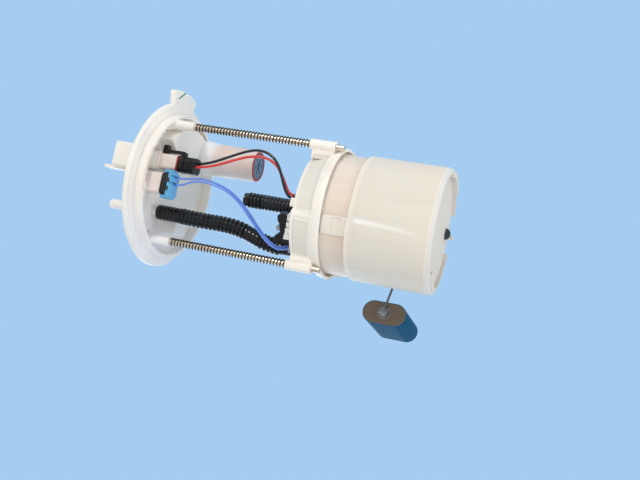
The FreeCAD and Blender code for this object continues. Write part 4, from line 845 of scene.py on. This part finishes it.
stub = {"x": -3.0, "y": -22.0, "low": -129.9, "top": -79.5, "bore": 4.0, "cuffHeight": 5.0, "cuffRadius": 5.5,
        "crest": 6.3, "valley": 5.1, "waveValley": 5.75, "ringsLow": -97.0, "pitch": 3.05, "crown": 0.08,
        "mouthRadius": 5.4, "mouthEdge": 0.3, "mouthRoom": 0.6, "sides": 32}


def makeReturnHose():
    # A corrugated stub on the deck's nipple, open at its top: gentle waves low down, sharp rings above
    place = stub["low"] + stub["cuffHeight"]
    outline = [(stub["bore"], stub["low"]), (stub["cuffRadius"], stub["low"]), (stub["cuffRadius"], place)]
    while place + stub["pitch"] < stub["top"] - stub["mouthRoom"]:
        valley = stub["valley"] if place > stub["ringsLow"] else stub["waveValley"]
        for share, radius in ringProfile(stub["crest"], valley, stub["crown"]):
            outline.append((radius, place + share * stub["pitch"]))
        place += stub["pitch"]
    outline += [(stub["mouthRadius"], place + stub["mouthEdge"]), (stub["mouthRadius"], stub["top"]),
                (stub["bore"], stub["top"])]
    bm = bmesh.new()
    turned(bm, outline, stub["sides"], (stub["x"], stub["y"]))
    makePiece(bm, "return_hose_corrugated", "reservoir", "hose_nylon", ["return_hose"], sharpAngle=60)


makeReturnHose()
print("hoses made")


# Springs: a round wire wound on each rod

spring = {"x": 47.8, "y": -28.5, "radius": 2.85, "top": -25.8, "bottom": -125.8, "turns": 37,
          "stepsPerTurn": 20, "wire": 0.44, "wireSides": 8, "bendTop": -25.4, "bendEnd": -126.2}


def makeSpring(name, x):
    bm = bmesh.new()
    height = spring["bottom"] - spring["top"]
    place = Matrix.Translation((x + spring["radius"], spring["y"], spring["top"]))
    bmesh.ops.create_circle(bm, segments=spring["wireSides"], radius=spring["wire"],
                            matrix=place @ Matrix.Rotation(math.radians(90), 4, "X"))
    steps = spring["turns"] * spring["stepsPerTurn"]
    bmesh.ops.spin(bm, geom=bm.verts[:] + bm.edges[:], cent=(x, spring["y"], 0), axis=(0, 0, 1),
                   dvec=(0, 0, height / steps), angle=2 * math.pi * spring["turns"], steps=steps)
    bmesh.ops.holes_fill(bm, edges=[edge for edge in bm.edges if edge.is_boundary], sides=0)
    piece = makePiece(bm, name + "_coil", None, "spring_steel", [name], sharpAngle=60)
    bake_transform(piece)


makeSpring("spring_upper", spring["x"])
makeSpring("spring_lower", -spring["x"])
print("springs wound")


# Moulded pieces

retainer = {"corner": (59.0, 57.53, -193.593), "top": 2.3, "thickness": 0.5,
            "radius": 5.6, "bore": 0.9, "domeFoot": 4.8, "domeRadius": 4.5, "domeHeight": 4.2,
            "domeFlat": 0.02, "domeBore": 0.36, "domeHollow": 0.2, "sides": 48}


def makeRetainer():
    # Ring flange with a polished dome, on the float's wire
    base = retainer["top"] - retainer["thickness"]
    outline = [(retainer["bore"], retainer["top"]), (retainer["radius"], retainer["top"]),
               (retainer["radius"], base), (retainer["domeFoot"], base)]
    for angle in (0, 18, 36, 54, 72, 86):
        step = math.radians(angle)
        outline.append((retainer["domeRadius"] * math.cos(step) + retainer["domeFlat"],
                        base - retainer["domeHeight"] * math.sin(step)))
    outline.append((retainer["domeBore"], retainer["top"] - retainer["domeHollow"]))
    bm = bmesh.new()
    turned(bm, outline, retainer["sides"])
    place = (Matrix.Rotation(math.radians(floatTurn["heading"]), 4, "Z")
             @ Matrix.Translation(retainer["corner"])
             @ Matrix.Rotation(math.radians(floatTurn["tilt"]), 4, "Y")
             @ Matrix.Rotation(math.radians(90), 4, "Y"))
    bmesh.ops.transform(bm, matrix=place, verts=bm.verts)
    makePiece(bm, "float_retainer_dome", bodyOf("float_retainer"), slotOf["float_retainer"],
              ["float_retainer"], finish=finishOf("float_retainer"))


makeRetainer()

ventEnd = {"x": 33.0, "y": 30.0, "z": -62.3, "lipRadius": 12.7, "lipHeight": 0.9, "lipSoft": 0.25,
           "faceRadius": 11.1, "faceHeight": 0.5, "faceSoft": 0.15, "sides": 64}


def makeVentEnd():
    # Lip of the red seal over the tube's end, and the valve's face inside it
    lipBottom = ventEnd["z"] - ventEnd["lipHeight"]
    bm = bmesh.new()
    turned(bm, [(ventEnd["faceRadius"], ventEnd["z"]), (ventEnd["lipRadius"], ventEnd["z"]),
                (ventEnd["lipRadius"], lipBottom), (ventEnd["faceRadius"], lipBottom)],
           ventEnd["sides"], (ventEnd["x"], ventEnd["y"]))
    makePiece(bm, "vent_seal_lip", bodyOf("vent_seal"), slotOf["vent_seal"], soft=ventEnd["lipSoft"])
    middle = Matrix.Translation((ventEnd["x"], ventEnd["y"], ventEnd["z"] - ventEnd["faceHeight"] / 2))
    bm = bmesh.new()
    bmesh.ops.create_cone(bm, cap_ends=True, segments=ventEnd["sides"], radius1=ventEnd["faceRadius"],
                          radius2=ventEnd["faceRadius"], depth=ventEnd["faceHeight"], matrix=middle)
    makePiece(bm, "vent_valve_face", bodyOf("vent_valve"), slotOf["vent_valve"], soft=ventEnd["faceSoft"],
              finish=ventFace(ventEnd["x"] * mm, ventEnd["y"] * mm))


makeVentEnd()

seal = {"x": -4.8, "y": -47.0, "width": 16.2, "length": 13.4, "top": -19.25, "bottom": -24.75, "corner": 2.4,
        "ribs": (-20.2, -22.0, -23.8), "ribHeight": 0.9, "ribReach": 0.7, "ribCorner": 2.9, "padY": -54.0,
        "padLow": -26.7, "padHigh": -24.35, "padWidth": 3.4, "padThickness": 0.8, "padPlaces": (-8.3, -1.7),
        "soft": 0.25}


def makeSenderSeal():
    # Ribbed rubber between the socket's mouth and the blue plug
    bm = bmesh.new()
    block(bm, seal["x"], seal["y"], seal["width"], seal["length"], seal["bottom"], seal["top"],
          seal["corner"])
    for middle in seal["ribs"]:
        block(bm, seal["x"], seal["y"], seal["width"] + 2 * seal["ribReach"],
              seal["length"] + 2 * seal["ribReach"], middle - seal["ribHeight"] / 2,
              middle + seal["ribHeight"] / 2, seal["ribCorner"])
    for x in seal["padPlaces"]:
        # pads that reach over the blue plug's near face
        block(bm, x, seal["padY"], seal["padWidth"], seal["padThickness"], seal["padLow"], seal["padHigh"])
    makePiece(bm, "sender_seal_ribbed", bodyOf("sender_plug_seal"), slotOf["sender_plug_seal"],
              ["sender_plug_seal"], seal["soft"])


makeSenderSeal()

edgeRounding = {
    # CAD nodes that get a moulded copy, and the width of its rounded edges in millimetres
    "flange_plate": 0.5, "vent_tube": 0.5, "vent_valve": 0.3, "vent_seal": 0.4, "holder_cap": 0.5,
    "inner_can": 0.4, "reservoir_cup": 0.5, "pump_plug": 0.4, "pump_plug_latch": 0.3, "pump_plug_seal": 0.3,
    "sender_plug": 0.3, "delivery_elbow": 0.3, "terminal_block": 0.3, "pump_connector": 0.5,
    "connector_lock": 0.3, "wire_grommet": 0.5, "wire_clip": 0.3, "foot_valve": 0.2, "float": 0.5,
    "sender_housing": 0.4, "arm_hub": 0.4,
}
for nodeName, soft in edgeRounding.items():
    softCopy(nodeName, soft)
print("moulded pieces made")

bpy.context.view_layer.update()
